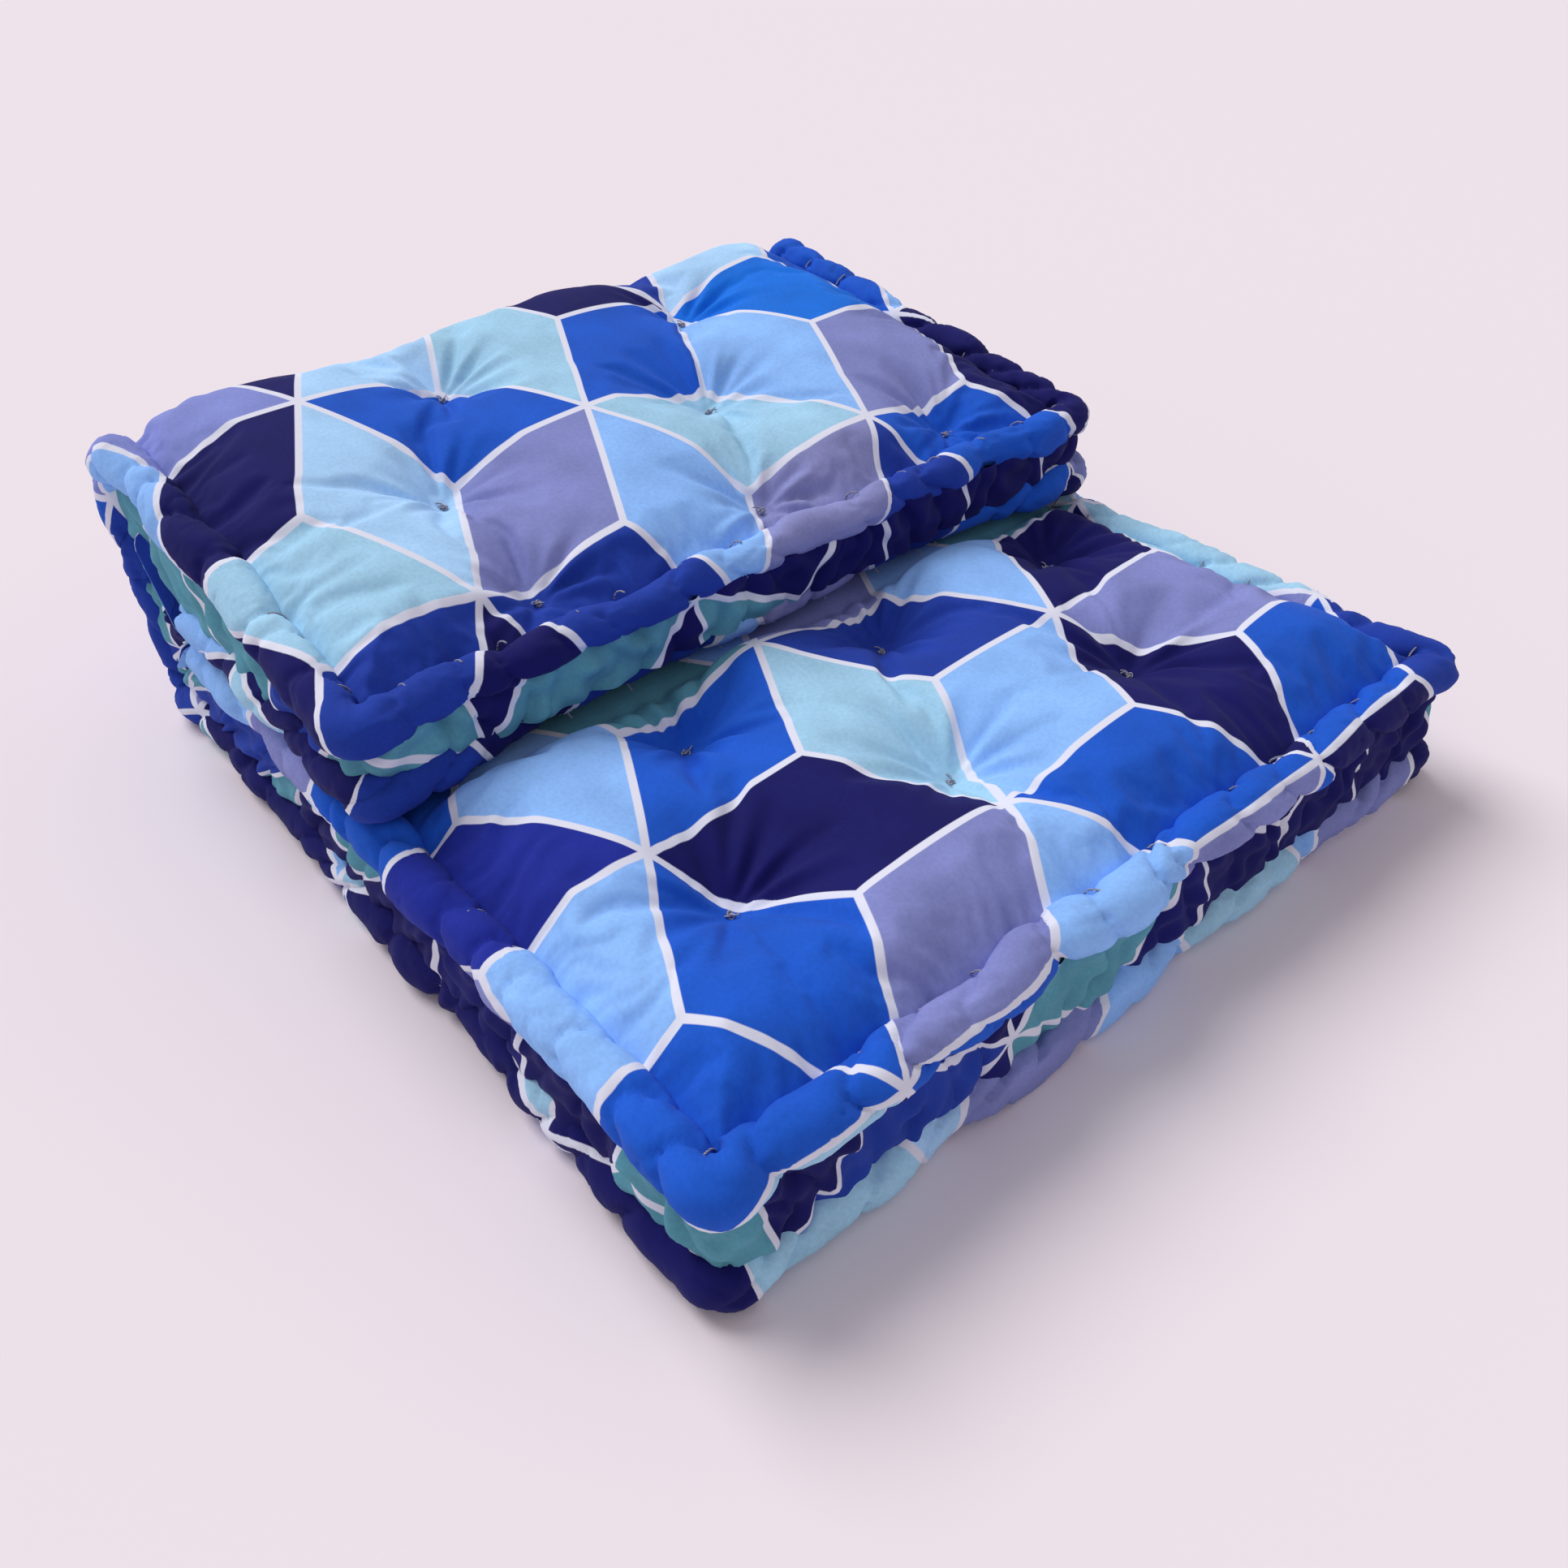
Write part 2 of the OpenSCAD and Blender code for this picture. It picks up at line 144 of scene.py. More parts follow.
sky = bpy.data.lights.new("broad lamp", "SUN")
sky.energy = 2.0
sky.angle = np.radians(38)
sky_lamp = bpy.data.objects.new("broad lamp", sky)
bpy.context.scene.collection.objects.link(sky_lamp)
sky_lamp.matrix_world = aim(np.array([-0.35, 1.5, 2.0]), np.zeros(3), 0.0)
world = bpy.data.worlds.new("pale surround")
world.use_nodes = True
world.node_tree.nodes["Background"].inputs["Color"].default_value = hex_linear("#f7f2f6")
world.node_tree.nodes["Background"].inputs["Strength"].default_value = 0.52
bpy.context.scene.world = world
bpy.context.scene.view_settings.view_transform = "Standard"

floor_mesh = bpy.data.meshes.new("floor")
floor_mesh.from_pydata([(-60, -60, 0), (60, -60, 0), (60, 60, 0), (-60, 60, 0)], [], [(0, 1, 2, 3)])
floor = bpy.data.objects.new("floor", floor_mesh)
bpy.context.scene.collection.objects.link(floor)

# %% [markdown]
# Materials are built from nodes. One helper adds a node with its settings and its links, so each
# material reads as a list of steps.

# %% Node helper
def add_node(tree, kind, links=(), **settings):
    """Add one node. Settings named in_0, in_Color ... set sockets; links are (socket, source)."""
    n = tree.nodes.new(kind)
    for key, value in settings.items():
        if key.startswith("in_"):
            socket = int(key[3:]) if key[3:].isdigit() else key[3:].replace("_", " ")
            n.inputs[socket].default_value = value
        else:
            setattr(n, key, value)
    for socket, source in links:
        tree.links.new(source, n.inputs[socket])
    return n


def new_material(name, roughness, sheen=0.0):
    """An empty principled material; returns it, its tree and its shader."""
    m = bpy.data.materials.new(name)
    m.use_nodes = True
    shader = m.node_tree.nodes["Principled BSDF"]
    shader.inputs["Roughness"].default_value = roughness
    shader.inputs["IOR"].default_value = 1.47
    shader.inputs["Sheen Weight"].default_value = sheen
    shader.inputs["Sheen Roughness"].default_value = 0.6
    shader.inputs["Specular IOR Level"].default_value = 0.14
    return m, m.node_tree, shader


paper, paper_tree, paper_shader = new_material("matt studio paper", 0.95)
paper_shader.inputs["Base Color"].default_value = hex_linear("#f0e6ec")
floor_mesh.materials.append(paper)

# %% [markdown]
# The case is plain-woven cotton, screen-printed with a rhombus tiling: every rhombus lies on an
# edge of a triangular lattice of star points, and white lines part the colours. The material
# reads the cloth's own flat coordinates in metres from the UV map. It works out the lattice cell,
# the rhombus in it and the distance to the rhombus's edge, so the print bends with the cloth.
# Cotton gives a matt face: a high roughness, a little sheen, and a weave that is drawn at 1.2 mm,
# about three times its real thread spacing, because a finer one doesn't show.

# %% The printed cotton
inks = {
    "navy": "#161560", "ink": "#1a1b6c", "indigo": "#1e2c96", "deep": "#213fa4", "royal": "#1c5acc",
    "azure": "#1172e2", "sky": "#90c0ff", "pale": "#aed8ff", "aqua": "#a4d2ee",
    "teal": "#5c9cb0", "peri": "#858fd4", "mauve": "#848bc8", "grey": "#8c90c6",
}


def lattice_rows(a1, a2):
    """Rows of the inverse of the matrix with columns a1 and a2."""
    m = np.linalg.inv(np.array([a1, a2], float).T)
    return m[0], m[1]


repeat = 5  # star points each way before the tiling starts again


def printed_cotton(name, origin, a1, a2, tables, fill, line=0.0235):
    """Cotton print. tables holds, for the edges along a1, a2 and a2 - a1, the ink at each star
    point (i, j), counted modulo the repeat. fill inks the cells that aren't named."""
    m, tree, shader = new_material(name, 0.85, 0.03)
    r0, r1 = lattice_rows(a1, a2)
    uv = add_node(tree, "ShaderNodeUVMap", uv_map="cloth")
    at = add_node(
        tree, "ShaderNodeVectorMath", [(0, uv.outputs[0])], operation="SUBTRACT", in_1=(*origin, 0)
    )

    def math(op, *sources, **settings):
        links = [(i, s) for i, s in enumerate(sources) if s is not None]
        return add_node(tree, "ShaderNodeMath", links, operation=op, **settings).outputs[0]

    def dot(row):
        n = add_node(
            tree, "ShaderNodeVectorMath", [(0, at.outputs[0])],
            operation="DOT_PRODUCT", in_1=(*row, 0),
        )
        return n.outputs["Value"]

    a, b = dot(r0), dot(r1)
    fa, fb, i, j = math("FRACT", a), math("FRACT", b), math("FLOOR", a), math("FLOOR", b)
    both = math("ADD", fa, fb)
    up = math("GREATER_THAN", both, in_1=1.0)
    flip_a, flip_b = math("SUBTRACT", None, fa, in_0=1.0), math("SUBTRACT", None, fb, in_0=1.0)

    def choose(when, no, yes):
        n = add_node(tree, "ShaderNodeMix", [(0, when), (2, no), (3, yes)], data_type="FLOAT")
        return n.outputs[0]

    far0, far1 = choose(up, fb, flip_b), choose(up, fa, flip_a)
    over = math("SUBTRACT", both, in_1=1.0)
    far2 = math("ABSOLUTE", over)
    low, high = math("MINIMUM", far0, far1), math("MAXIMUM", far0, far1)
    least = math("MINIMUM", low, far2)
    second = math("MAXIMUM", low, math("MINIMUM", high, far2))
    next_i, next_j = math("ADD", i, in_1=1.0), math("ADD", j, in_1=1.0)
    place_i = [i, math("ADD", i, up), next_i]
    place_j = [math("ADD", j, up), j, j]
    rng = np.random.default_rng(len(name))
    ramps = []
    for k in range(3):
        mi = math("FLOORED_MODULO", place_i[k], in_1=repeat)
        mj = math("FLOORED_MODULO", place_j[k], in_1=repeat)
        index = math("MULTIPLY_ADD", mi, None, mj, in_1=repeat)
        share = math("DIVIDE", math("ADD", index, in_1=0.5), in_1=repeat**2)
        ramp = add_node(tree, "ShaderNodeValToRGB", [(0, share)])
        ramp.color_ramp.interpolation = "CONSTANT"
        cells = {(p[0] % repeat, p[1] % repeat): ink for p, ink in tables[k].items()}
        stops = ramp.color_ramp.elements
        for c in range(repeat**2):
            stop = stops[0] if c == 0 else stops[1] if c == 1 else stops.new(c / repeat**2)
            stop.position = c / repeat**2
            ink = cells.get(divmod(c, repeat), fill[rng.integers(len(fill))])
            stop.color = hex_linear(inks[ink])
        ramps.append(ramp.outputs[0])

    def mix(when, no, yes, **settings):
        n = add_node(tree, "ShaderNodeMix", data_type="RGBA", **settings)
        for socket, source in ((0, when), (6, no), (7, yes)):
            if source is not None:
                tree.links.new(source, n.inputs[socket])
        return n.outputs[2]

    is1 = math("LESS_THAN", far1, far0)
    is2 = math("LESS_THAN", far2, low)
    colour = mix(is2, mix(is1, ramps[0], ramps[1]), ramps[2])
    # Dye settles unevenly: clouds of 60 mm and flecks of 4 mm lighten and darken it a little
    noises, tones = [], []
    for scale, detail, depth in ((16.0, 5.0, 0.12), (260.0, 2.0, 0.06)):
        noise = add_node(
            tree, "ShaderNodeTexNoise", [("Vector", uv.outputs[0])],
            in_Scale=scale, in_Detail=detail,
        )
        tone = add_node(
            tree, "ShaderNodeMapRange", [("Value", noise.outputs[0])],
            in_From_Min=0.3, in_From_Max=0.7, in_To_Min=1 - depth, in_To_Max=1 + depth,
        )
        noises.append(noise.outputs[0])
        tones.append(tone.outputs[0])
    tone = math("MULTIPLY", *tones)
    dyed = add_node(
        tree, "ShaderNodeVectorMath", [(0, colour), (3, tone)], operation="SCALE"
    ).outputs[0]
    gap = math("SUBTRACT", second, least)
    edge = add_node(
        tree, "ShaderNodeMapRange", [("Value", gap)], interpolation_type="SMOOTHSTEP",
        in_From_Min=line - 0.004, in_From_Max=line + 0.004, in_To_Min=1.0, in_To_Max=0.0,
    )
    printed = mix(edge.outputs[0], dyed, None, in_7=hex_linear("#e4e6f6"))
    tree.links.new(printed, shader.inputs["Base Color"])
    threads = [
        add_node(
            tree, "ShaderNodeTexWave", [("Vector", uv.outputs[0])], bands_direction=way,
            in_Scale=2 * np.pi / (20 * 1.2e-3), in_Distortion=1.5, in_Detail=1.0,
        ).outputs["Fac"]
        for way in ("X", "Y")
    ]
    weave = math("MULTIPLY", *threads)
    surface = math("ADD", weave, noises[1])
    # Washed cotton keeps faint creases some 30 mm apart
    crumple = add_node(
        tree, "ShaderNodeTexNoise", [("Vector", uv.outputs[0])], noise_type="RIDGED_MULTIFRACTAL",
        in_Scale=30.0, in_Detail=3.0, in_Distortion=0.7,
    )
    creases = add_node(
        tree, "ShaderNodeBump", [("Height", crumple.outputs[0])],
        in_Strength=0.30, in_Distance=0.0014,
    )
    bump = add_node(
        tree, "ShaderNodeBump", [("Height", surface), ("Normal", creases.outputs[0])],
        in_Strength=0.12, in_Distance=0.0006,
    )
    tree.links.new(bump.outputs[0], shader.inputs["Normal"])
    print(name, "with", len(tree.nodes), "nodes")
    return m


def polar(length, degrees):
    """Vector of that length at that angle."""
    return (length * np.cos(np.radians(degrees)), length * np.sin(np.radians(degrees)))


corner = np.array([-half, front])
lower_print = printed_cotton(
    "printed cotton, lower face", corner + [0.155, 0.268], polar(0.288, -28), polar(0.288, 32),
    [
        {(0, 0): "navy", (-1, 0): "indigo", (0, 1): "deep", (-1, 1): "teal", (1, 0): "royal",
         (1, 1): "mauve", (0, 2): "teal", (0, -1): "royal"},
        {(0, 0): "royal", (0, -1): "sky", (0, 1): "mauve", (1, 0): "sky", (1, -1): "mauve",
         (1, 1): "navy", (2, 0): "royal"},
        {(0, 0): "sky", (1, -1): "royal", (1, 0): "aqua", (0, 1): "sky", (2, -1): "sky",
         (1, 1): "sky", (2, 0): "navy", (2, 1): "aqua"},
    ],
    ["deep", "sky", "navy", "aqua", "royal", "mauve"],
)
upper_print = printed_cotton(
    "printed cotton, upper face", corner + [0.416, 0.709], (0.232, -0.162), (0.240, 0.180),
    [
        {(-1, 0): "royal", (0, 0): "aqua", (0, 1): "azure", (-1, 1): "navy", (1, 0): "royal",
         (-1, -1): "aqua", (0, -1): "deep", (-2, 0): "peri", (0, 3): "royal", (1, 2): "indigo",
         (2, 1): "deep"},
        {(0, -1): "mauve", (0, 0): "royal", (1, 0): "mauve", (0, 1): "pale", (1, -1): "grey",
         (0, -2): "deep", (-1, 0): "pale", (-1, -1): "navy", (1, 2): "teal", (2, 1): "teal"},
        {(0, -1): "pale", (0, 0): "aqua", (1, -1): "sky", (1, 0): "sky", (0, 1): "deep",
         (2, -1): "deep", (2, 0): "navy", (1, -2): "navy", (-1, 0): "navy", (0, 3): "navy",
         (1, 2): "navy", (2, 1): "navy"},
    ],
    ["deep", "sky", "navy", "aqua", "royal", "mauve"],
)
border_print = printed_cotton(
    "printed cotton, border strip", (0.03, 0.05), polar(0.288, 12), polar(0.288, 72),
    [{}, {}, {}], ["navy", "ink", "teal", "ink", "navy", "deep", "teal", "navy"],
)

# %% [markdown]
# Two plain finishes are left: the carded cotton inside, which is a matt off-white fluff, and
# the waxed twine of the ties and stitches, a thin grey-white cord with a slight gloss.

# %% Batting and twine
batting, tree, shader = new_material("carded cotton batting", 0.95, 0.4)
spot = add_node(tree, "ShaderNodeTexCoord")
fluff = add_node(
    tree, "ShaderNodeTexNoise", [("Vector", spot.outputs["Object"])], in_Scale=120.0, in_Detail=6.0
)
ramp = add_node(tree, "ShaderNodeValToRGB", [(0, fluff.outputs[0])])
ramp.color_ramp.elements[0].color = hex_linear("#d9d2c2")
ramp.color_ramp.elements[1].color = hex_linear("#f6f2e8")
tree.links.new(ramp.outputs[0], shader.inputs["Base Color"])
bump = add_node(
    tree, "ShaderNodeBump", [("Height", fluff.outputs[0])], in_Strength=0.6, in_Distance=0.003
)
tree.links.new(bump.outputs[0], shader.inputs["Normal"])

twine, tree, shader = new_material("waxed cotton twine", 0.55)
spot = add_node(tree, "ShaderNodeTexCoord")
lay = add_node(
    tree, "ShaderNodeTexWave", [("Vector", spot.outputs["Object"])], bands_direction="DIAGONAL",
    in_Scale=260.0, in_Distortion=2.0,
)
ramp = add_node(tree, "ShaderNodeValToRGB", [(0, lay.outputs["Fac"])])
ramp.color_ramp.elements[0].color = hex_linear("#6f6e80")
ramp.color_ramp.elements[1].color = hex_linear("#b4b4c4")
tree.links.new(ramp.outputs[0], shader.inputs["Base Color"])
bump = add_node(
    tree, "ShaderNodeBump", [("Height", lay.outputs["Fac"])], in_Strength=0.4, in_Distance=0.0005
)
tree.links.new(bump.outputs[0], shader.inputs["Normal"])
print("batting and twine ready")

# %% [markdown]
# Every cloth piece is a grid of points. This helper turns rows and columns of points into a mesh,
# closes it across its columns where it is a tube, caps the tube's ends, and stores the cloth's
# flat coordinates as a UV map.

# %% Grid to mesh
def new_piece(name, mesh, material):
    """A smooth-shaded object at the origin that shows the mesh in one material."""
    mesh.materials.append(material)
    mesh.shade_smooth()
    obj = bpy.data.objects.new(name, mesh)
    bpy.context.scene.collection.objects.link(obj)
    return obj


def quads_of(rows, cols, wrap=False):
    """Corner numbers of each square of a grid, whose last column joins its first if wrap."""
    r = np.arange(rows - 1)[:, None]
    c = np.arange(cols if wrap else cols - 1)[None, :]
    step = (c + 1) % cols
    square = [r * cols + c, r * cols + step, (r + 1) * cols + step, (r + 1) * cols + c]
    return np.stack(square, -1).reshape(-1, 4)


def grid_object(name, points, cloth, material, wrap=False, caps=False, flip=False):
    """Mesh from points (rows, columns, 3). cloth (rows, columns [+ 1 if wrap], 2) is the UV map."""
    rows, cols = points.shape[:2]
    quad, flat = quads_of(rows, cols, wrap), quads_of(rows, cloth.shape[1])
    if flip:
        quad, flat = quad[:, ::-1], flat[:, ::-1]
    ends = []
    if caps:
        first, last = list(range(cols)), list(range((rows - 1) * cols, rows * cols))
        ends = [first, last[::-1]] if flip else [first[::-1], last]
    mesh = bpy.data.meshes.new(name)
    mesh.from_pydata(points.reshape(-1, 3).tolist(), [], quad.tolist() + ends)
    layer = mesh.uv_layers.new(name="cloth")
    uv = cloth.reshape(-1, 2)[flat.reshape(-1)]
    extra = [cloth[0, 0]] * len(ends[0]) + [cloth[-1, 0]] * len(ends[1]) if ends else []
    uv = np.concatenate([uv, np.array(extra).reshape(-1, 2)])
    layer.data.foreach_set("uv", uv.astype(np.float32).ravel())
    return new_piece(name, mesh, material)


def wobble(p, length, seed, waves=14):
    """Smooth noise: the sum of sine waves about that long, each in its own direction."""
    rng = np.random.default_rng(seed)
    way = rng.normal(size=(waves, p.shape[-1]))
    way *= 2 * np.pi / length * rng.uniform(0.7, 1.4, (waves, 1)) / np.linalg.norm(
        way, axis=1, keepdims=True
    )
    return np.sin(p @ way.T + rng.uniform(0, 2 * np.pi, waves)).sum(-1) / np.sqrt(waves / 2)


def ease(t):
    """0 below 0, 1 above 1, and 3t^2 - 2t^3 between."""
    t = np.clip(t, 0, 1)
    return t * t * (3 - 2 * t)


# %% [markdown]
# Each face of the mattress is described in flat cloth coordinates: x across, v from front to
# back, and h, the height above the face. One function per face places such a point. The outer
# face follows the folded side view, so its v runs on round the corner and up the back.

# %% From flat cloth to folded cloth
def roof(y):
    """Height of the upper face at y."""
    return fold_top - (back - y) * slope


def profile(points, side, v0):
    """Side view line through points (y, z); v is v0 plus the way along it, side gives outwards."""
    step = np.diff(points, axis=0)
    v = v0 + np.concatenate([[0], np.cumsum(np.linalg.norm(step, axis=1))])
    way = np.gradient(points, v, axis=0)
    out = side * np.stack([-way[:, 1], way[:, 0]], 1)
    out /= np.linalg.norm(out, axis=1)[:, None]

    def place(x, v_at, h):
        y, z, oy, oz = (np.interp(v_at, v, a) for a in (*points.T, *out.T))
        return np.stack(np.broadcast_arrays(x, y + h * oy, z + h * oz), -1)

    return place, v[-1]


def arc(centre, a0, a1, n=40):
    """Points of a back corner's arc from angle a0 to a1, in degrees."""
    a = np.radians(np.linspace(a0, a1, n))
    return centre + fold_r * np.stack([np.cos(a), np.sin(a)], 1)


def straight(p, q, n=60):
    """Points from p to q."""
    return p + np.linspace(0, 1, n)[:, None] * (np.array(q) - p)


low_centre = np.array([back - fold_r, fold_r])
top_centre = np.array([back - fold_r, fold_top - fold_r * (slope + sec)])
tilt = np.degrees(np.arctan(slope))
bottom_line = np.concatenate([
    straight(np.array([front, 0.0]), (back - fold_r, 0.0))[:-1], arc(low_centre, -90, 0)[:-1],
    straight(np.array([back, fold_r]), (back, middle), 12),
])
top_arc = arc(top_centre, 90 + tilt, 0)
top_line = np.concatenate([
    straight(np.array([upper_front, roof(upper_front)]), top_arc[0])[:-1], top_arc[:-1],
    straight(top_arc[-1], (back, middle), 12),
])
place_bottom, bottom_end = profile(bottom_line, -1, front)
place_outer, outer_end = profile(top_line, 1, upper_front)


def place_top(x, v, h):
    """The lower leaf's upper face."""
    return np.stack(np.broadcast_arrays(x, v, leaf_top + h), -1)


def place_inner(x, v, h):
    """The upper leaf's lower face, whose height is measured downwards."""
    return np.stack(np.broadcast_arrays(x, v, upper_low - h), -1)


print("outer cloth ends at", bottom_end, "and", outer_end)

# %% [markdown]
# A rolled edge follows a leaf's three free sides with rounded corners. The path gives its points,
# the direction away from the face, and the way along it, all in flat cloth coordinates.

# %% Path of a rolled edge
def rim_path(v_front, v_end, inset, step):
    """Down the left side from v_end, round the front and up the right side, set in by inset."""
    w, r = half - inset, corner_r - inset
    f = v_front + inset
    q = np.pi / 2

    def bend(side, ox, ov):
        return side * (w - r) + r * ox, f + r + r * ov, ox, ov

    sides = [
        (v_end - f - r, lambda s: (-w + 0 * s, v_end - s, -1 + 0 * s, 0 * s)),
        (q * r, lambda s: bend(-1, -np.cos(s / r), -np.sin(s / r))),
        (2 * (w - r), lambda s: (-w + r + s, f + 0 * s, 0 * s, -1 + 0 * s)),
        (q * r, lambda s: bend(1, np.sin(s / r), -np.cos(s / r))),
        (v_end - f - r, lambda s: (w + 0 * s, f + r + s, 1 + 0 * s, 0 * s)),
    ]
    ends = np.cumsum([0] + [length for length, _ in sides])
    s = np.linspace(0, ends[-1], int(ends[-1] / step) + 1)
    out = np.zeros((len(s), 4))
    for (length, fn), a, b in zip(sides, ends[:-1], ends[1:]):
        on = (s >= a) & (s <= b)
        out[on] = np.stack(fn(s[on] - a), -1)
    return out[:, :2], out[:, 2:], s


def rim_distance(x, v, v_front, v_end):
    """Distance inside the roll's centre line, which is a rounded rectangle open at the back."""
    r = corner_r - roll_r
    dx, dv = half - roll_r - np.abs(x), v - v_front - roll_r
    near = r - np.hypot(np.maximum(r - dx, 0), np.maximum(r - dv, 0))
    return np.where((dx < r) & (dv < r), near, np.minimum(dx, dv))


def pinch_places(total, pitch, seed):
    """Places of the stitches that pinch a roll: even, then each moved by up to a third."""
    n = max(2, int(round(total / pitch)))
    jitter = np.random.default_rng(seed).uniform(-0.32, 0.32, n + 1)
    jitter[[0, -1]] = 0
    return (np.arange(n + 1) + jitter) * total / n


def nearest(s, places):
    """Distance from each s to the nearest place, and that place's strength from 0.5 to 1."""
    at = np.clip(np.searchsorted(places, s), 1, len(places) - 1)
    at = np.where(np.abs(s - places[at - 1]) < np.abs(s - places[at]), at - 1, at)
    strength = 0.5 + 0.5 * (0.5 + 0.5 * np.sin(2.4 * at * at + len(places)))
    return np.abs(s - places[at]), strength


# %% [markdown]
# The roll itself is a tube stuffed firmly with cotton. Twine pulls it in every 60 mm or so, so it
# looks like a string of sausages, and each pinch runs slightly aslant with small folds round it.
# The tube's radius is the roll's radius, swollen between the pinches and cut in at each.

# %% Rolled edges
roll_pitch = 0.062
rolls = {}


def run_on(cloth, place):
    """The case's outer cloth is one length: under the mattress it runs on from the upper part."""
    if place is place_bottom:
        cloth = np.stack([cloth[..., 0], outer_end + bottom_end - cloth[..., 1]], -1)
    return cloth


def rolled_edge(
    name, place, v_front, v_end, material, seed, floor_z=None, flip=False, thin=0.0, back_set=0.0
):
    """Tube round the rim: x, v = path + r cos(a) outwards, h = r sin(a) - roll radius. r is the
    roll's radius, cut in at each pinch and along sharp slanting folds. thin makes the front
    thinner and back_set moves it back, away from the corners."""
    path, out, s = rim_path(v_front, v_end, roll_r, 0.003)
    turn = np.linspace(0, 2 * np.pi, 41)
    a = np.pi - turn[None, :]
    spots = pinch_places(s[-1], roll_pitch, seed)
    slant = 0.020 + 0.008 * wobble(path, 0.25, seed + 1)[:, None]
    along = s[:, None] + slant * np.sin(a + 0.6)
    gap, strength = nearest(along, spots)
    swell = 1.0 + 0.04 * wobble(path, 0.14, seed + 2)[:, None]
    # Thread cuts in by up to 0.38 of the radius; half way between pinches it swells by 0.05
    full = np.sin(np.clip(gap / 0.03, 0, 1) * np.pi / 2)
    cut = strength * (0.38 * np.exp(-gap / 0.0065) - 0.05 * full)
    # Small folds beside each pinch, a soft unevenness, then sharp creases and the twist's lines
    ring = np.stack(np.broadcast_arrays(s[:, None], 0.03 * np.cos(a), 0.03 * np.sin(a)), -1)
    folds = 0.045 * wobble(ring, 0.022, seed + 3) * np.exp(-gap / 0.018)
    folds = folds + 0.025 * wobble(ring, 0.06, seed + 4)
    folds = folds - 0.09 * np.exp(-np.abs(wobble(ring, 0.11, seed + 6)) / 0.06)
    twist = np.stack(
        np.broadcast_arrays(s[:, None] - 0.024 * np.sin(a + 0.6), 0.012 * np.cos(a)), -1
    )
    rope = np.exp(-np.abs(wobble(twist, 0.024, seed + 7)) / 0.14)
    folds = folds - 0.085 * rope * (0.35 + 0.65 * np.exp(-gap / 0.020))
    # 1 along the front between the corners, 0 on the sides
    at_front = ease((0.05 - (path[:, 1:] - v_front - roll_r)) / 0.05)
    at_front = at_front * ease((half - 0.06 - np.abs(path[:, :1])) / 0.12)
    r = roll_r * (swell - cut + folds) * (1 - thin * at_front)
    turning = np.abs(out[:, 0] * out[:, 1])[:, None] * 2
    shift = 0.0028 * wobble(path, 0.16, seed + 5)[:, None] + 0.007 * turning
    x = path[:, :1] + out[:, :1] * (r * np.cos(a) + shift)
    v = path[:, 1:] + out[:, 1:] * (r * np.cos(a) + shift) + back_set * at_front
    points = place(x, v, r * np.sin(a) - roll_r)
    if floor_z is not None:
        points[..., 2] = np.maximum(points[..., 2], floor_z)
    start = path - out * roll_r
    cloth = run_on(start[:, None, :] + out[:, None, :] * (roll_r * turn)[None, :, None], place)
    obj = grid_object(name, points[:, :-1], cloth, material, wrap=True, caps=True, flip=flip)
    rolls[name] = (spots, s, path, out)
    print(name, len(obj.data.polygons), "faces,", len(spots), "pinches")
    return obj


roll_end = crease[0] + 0.004  # the inner rolls run a little into the crease
lower_top_roll = rolled_edge("lower_top_roll", place_top, front, roll_end, lower_print, 11)
lower_bottom_roll = rolled_edge(
    "lower_bottom_roll", place_bottom, front, bottom_end, upper_print, 21, floor_z=0.0004, flip=True
)
upper_outer_roll = rolled_edge(
    "upper_outer_roll", place_outer, upper_front, outer_end, upper_print, 31, thin=0.16
)
upper_inner_roll = rolled_edge(
    "upper_inner_roll", place_inner, upper_front, roll_end, upper_print, 41, flip=True,
    thin=0.12, back_set=0.020,
)

# %% [markdown]
# A face is a sheet of cloth, held down at its ties and along the roll, and pushed out by the
# batting. It starts as a smooth pillow between those holds. Blender's cloth simulation then grows
# it by a few hundredths and presses it out, which makes the soft creases that run from each tie
# and from each pinch of the roll, as on the real thing.

# %% The faces as pillows
# How deep a tie draws the cloth in, and how far inside the rim the cloth meets the roll
tie_depth = 0.027
cloth_in = 0.027


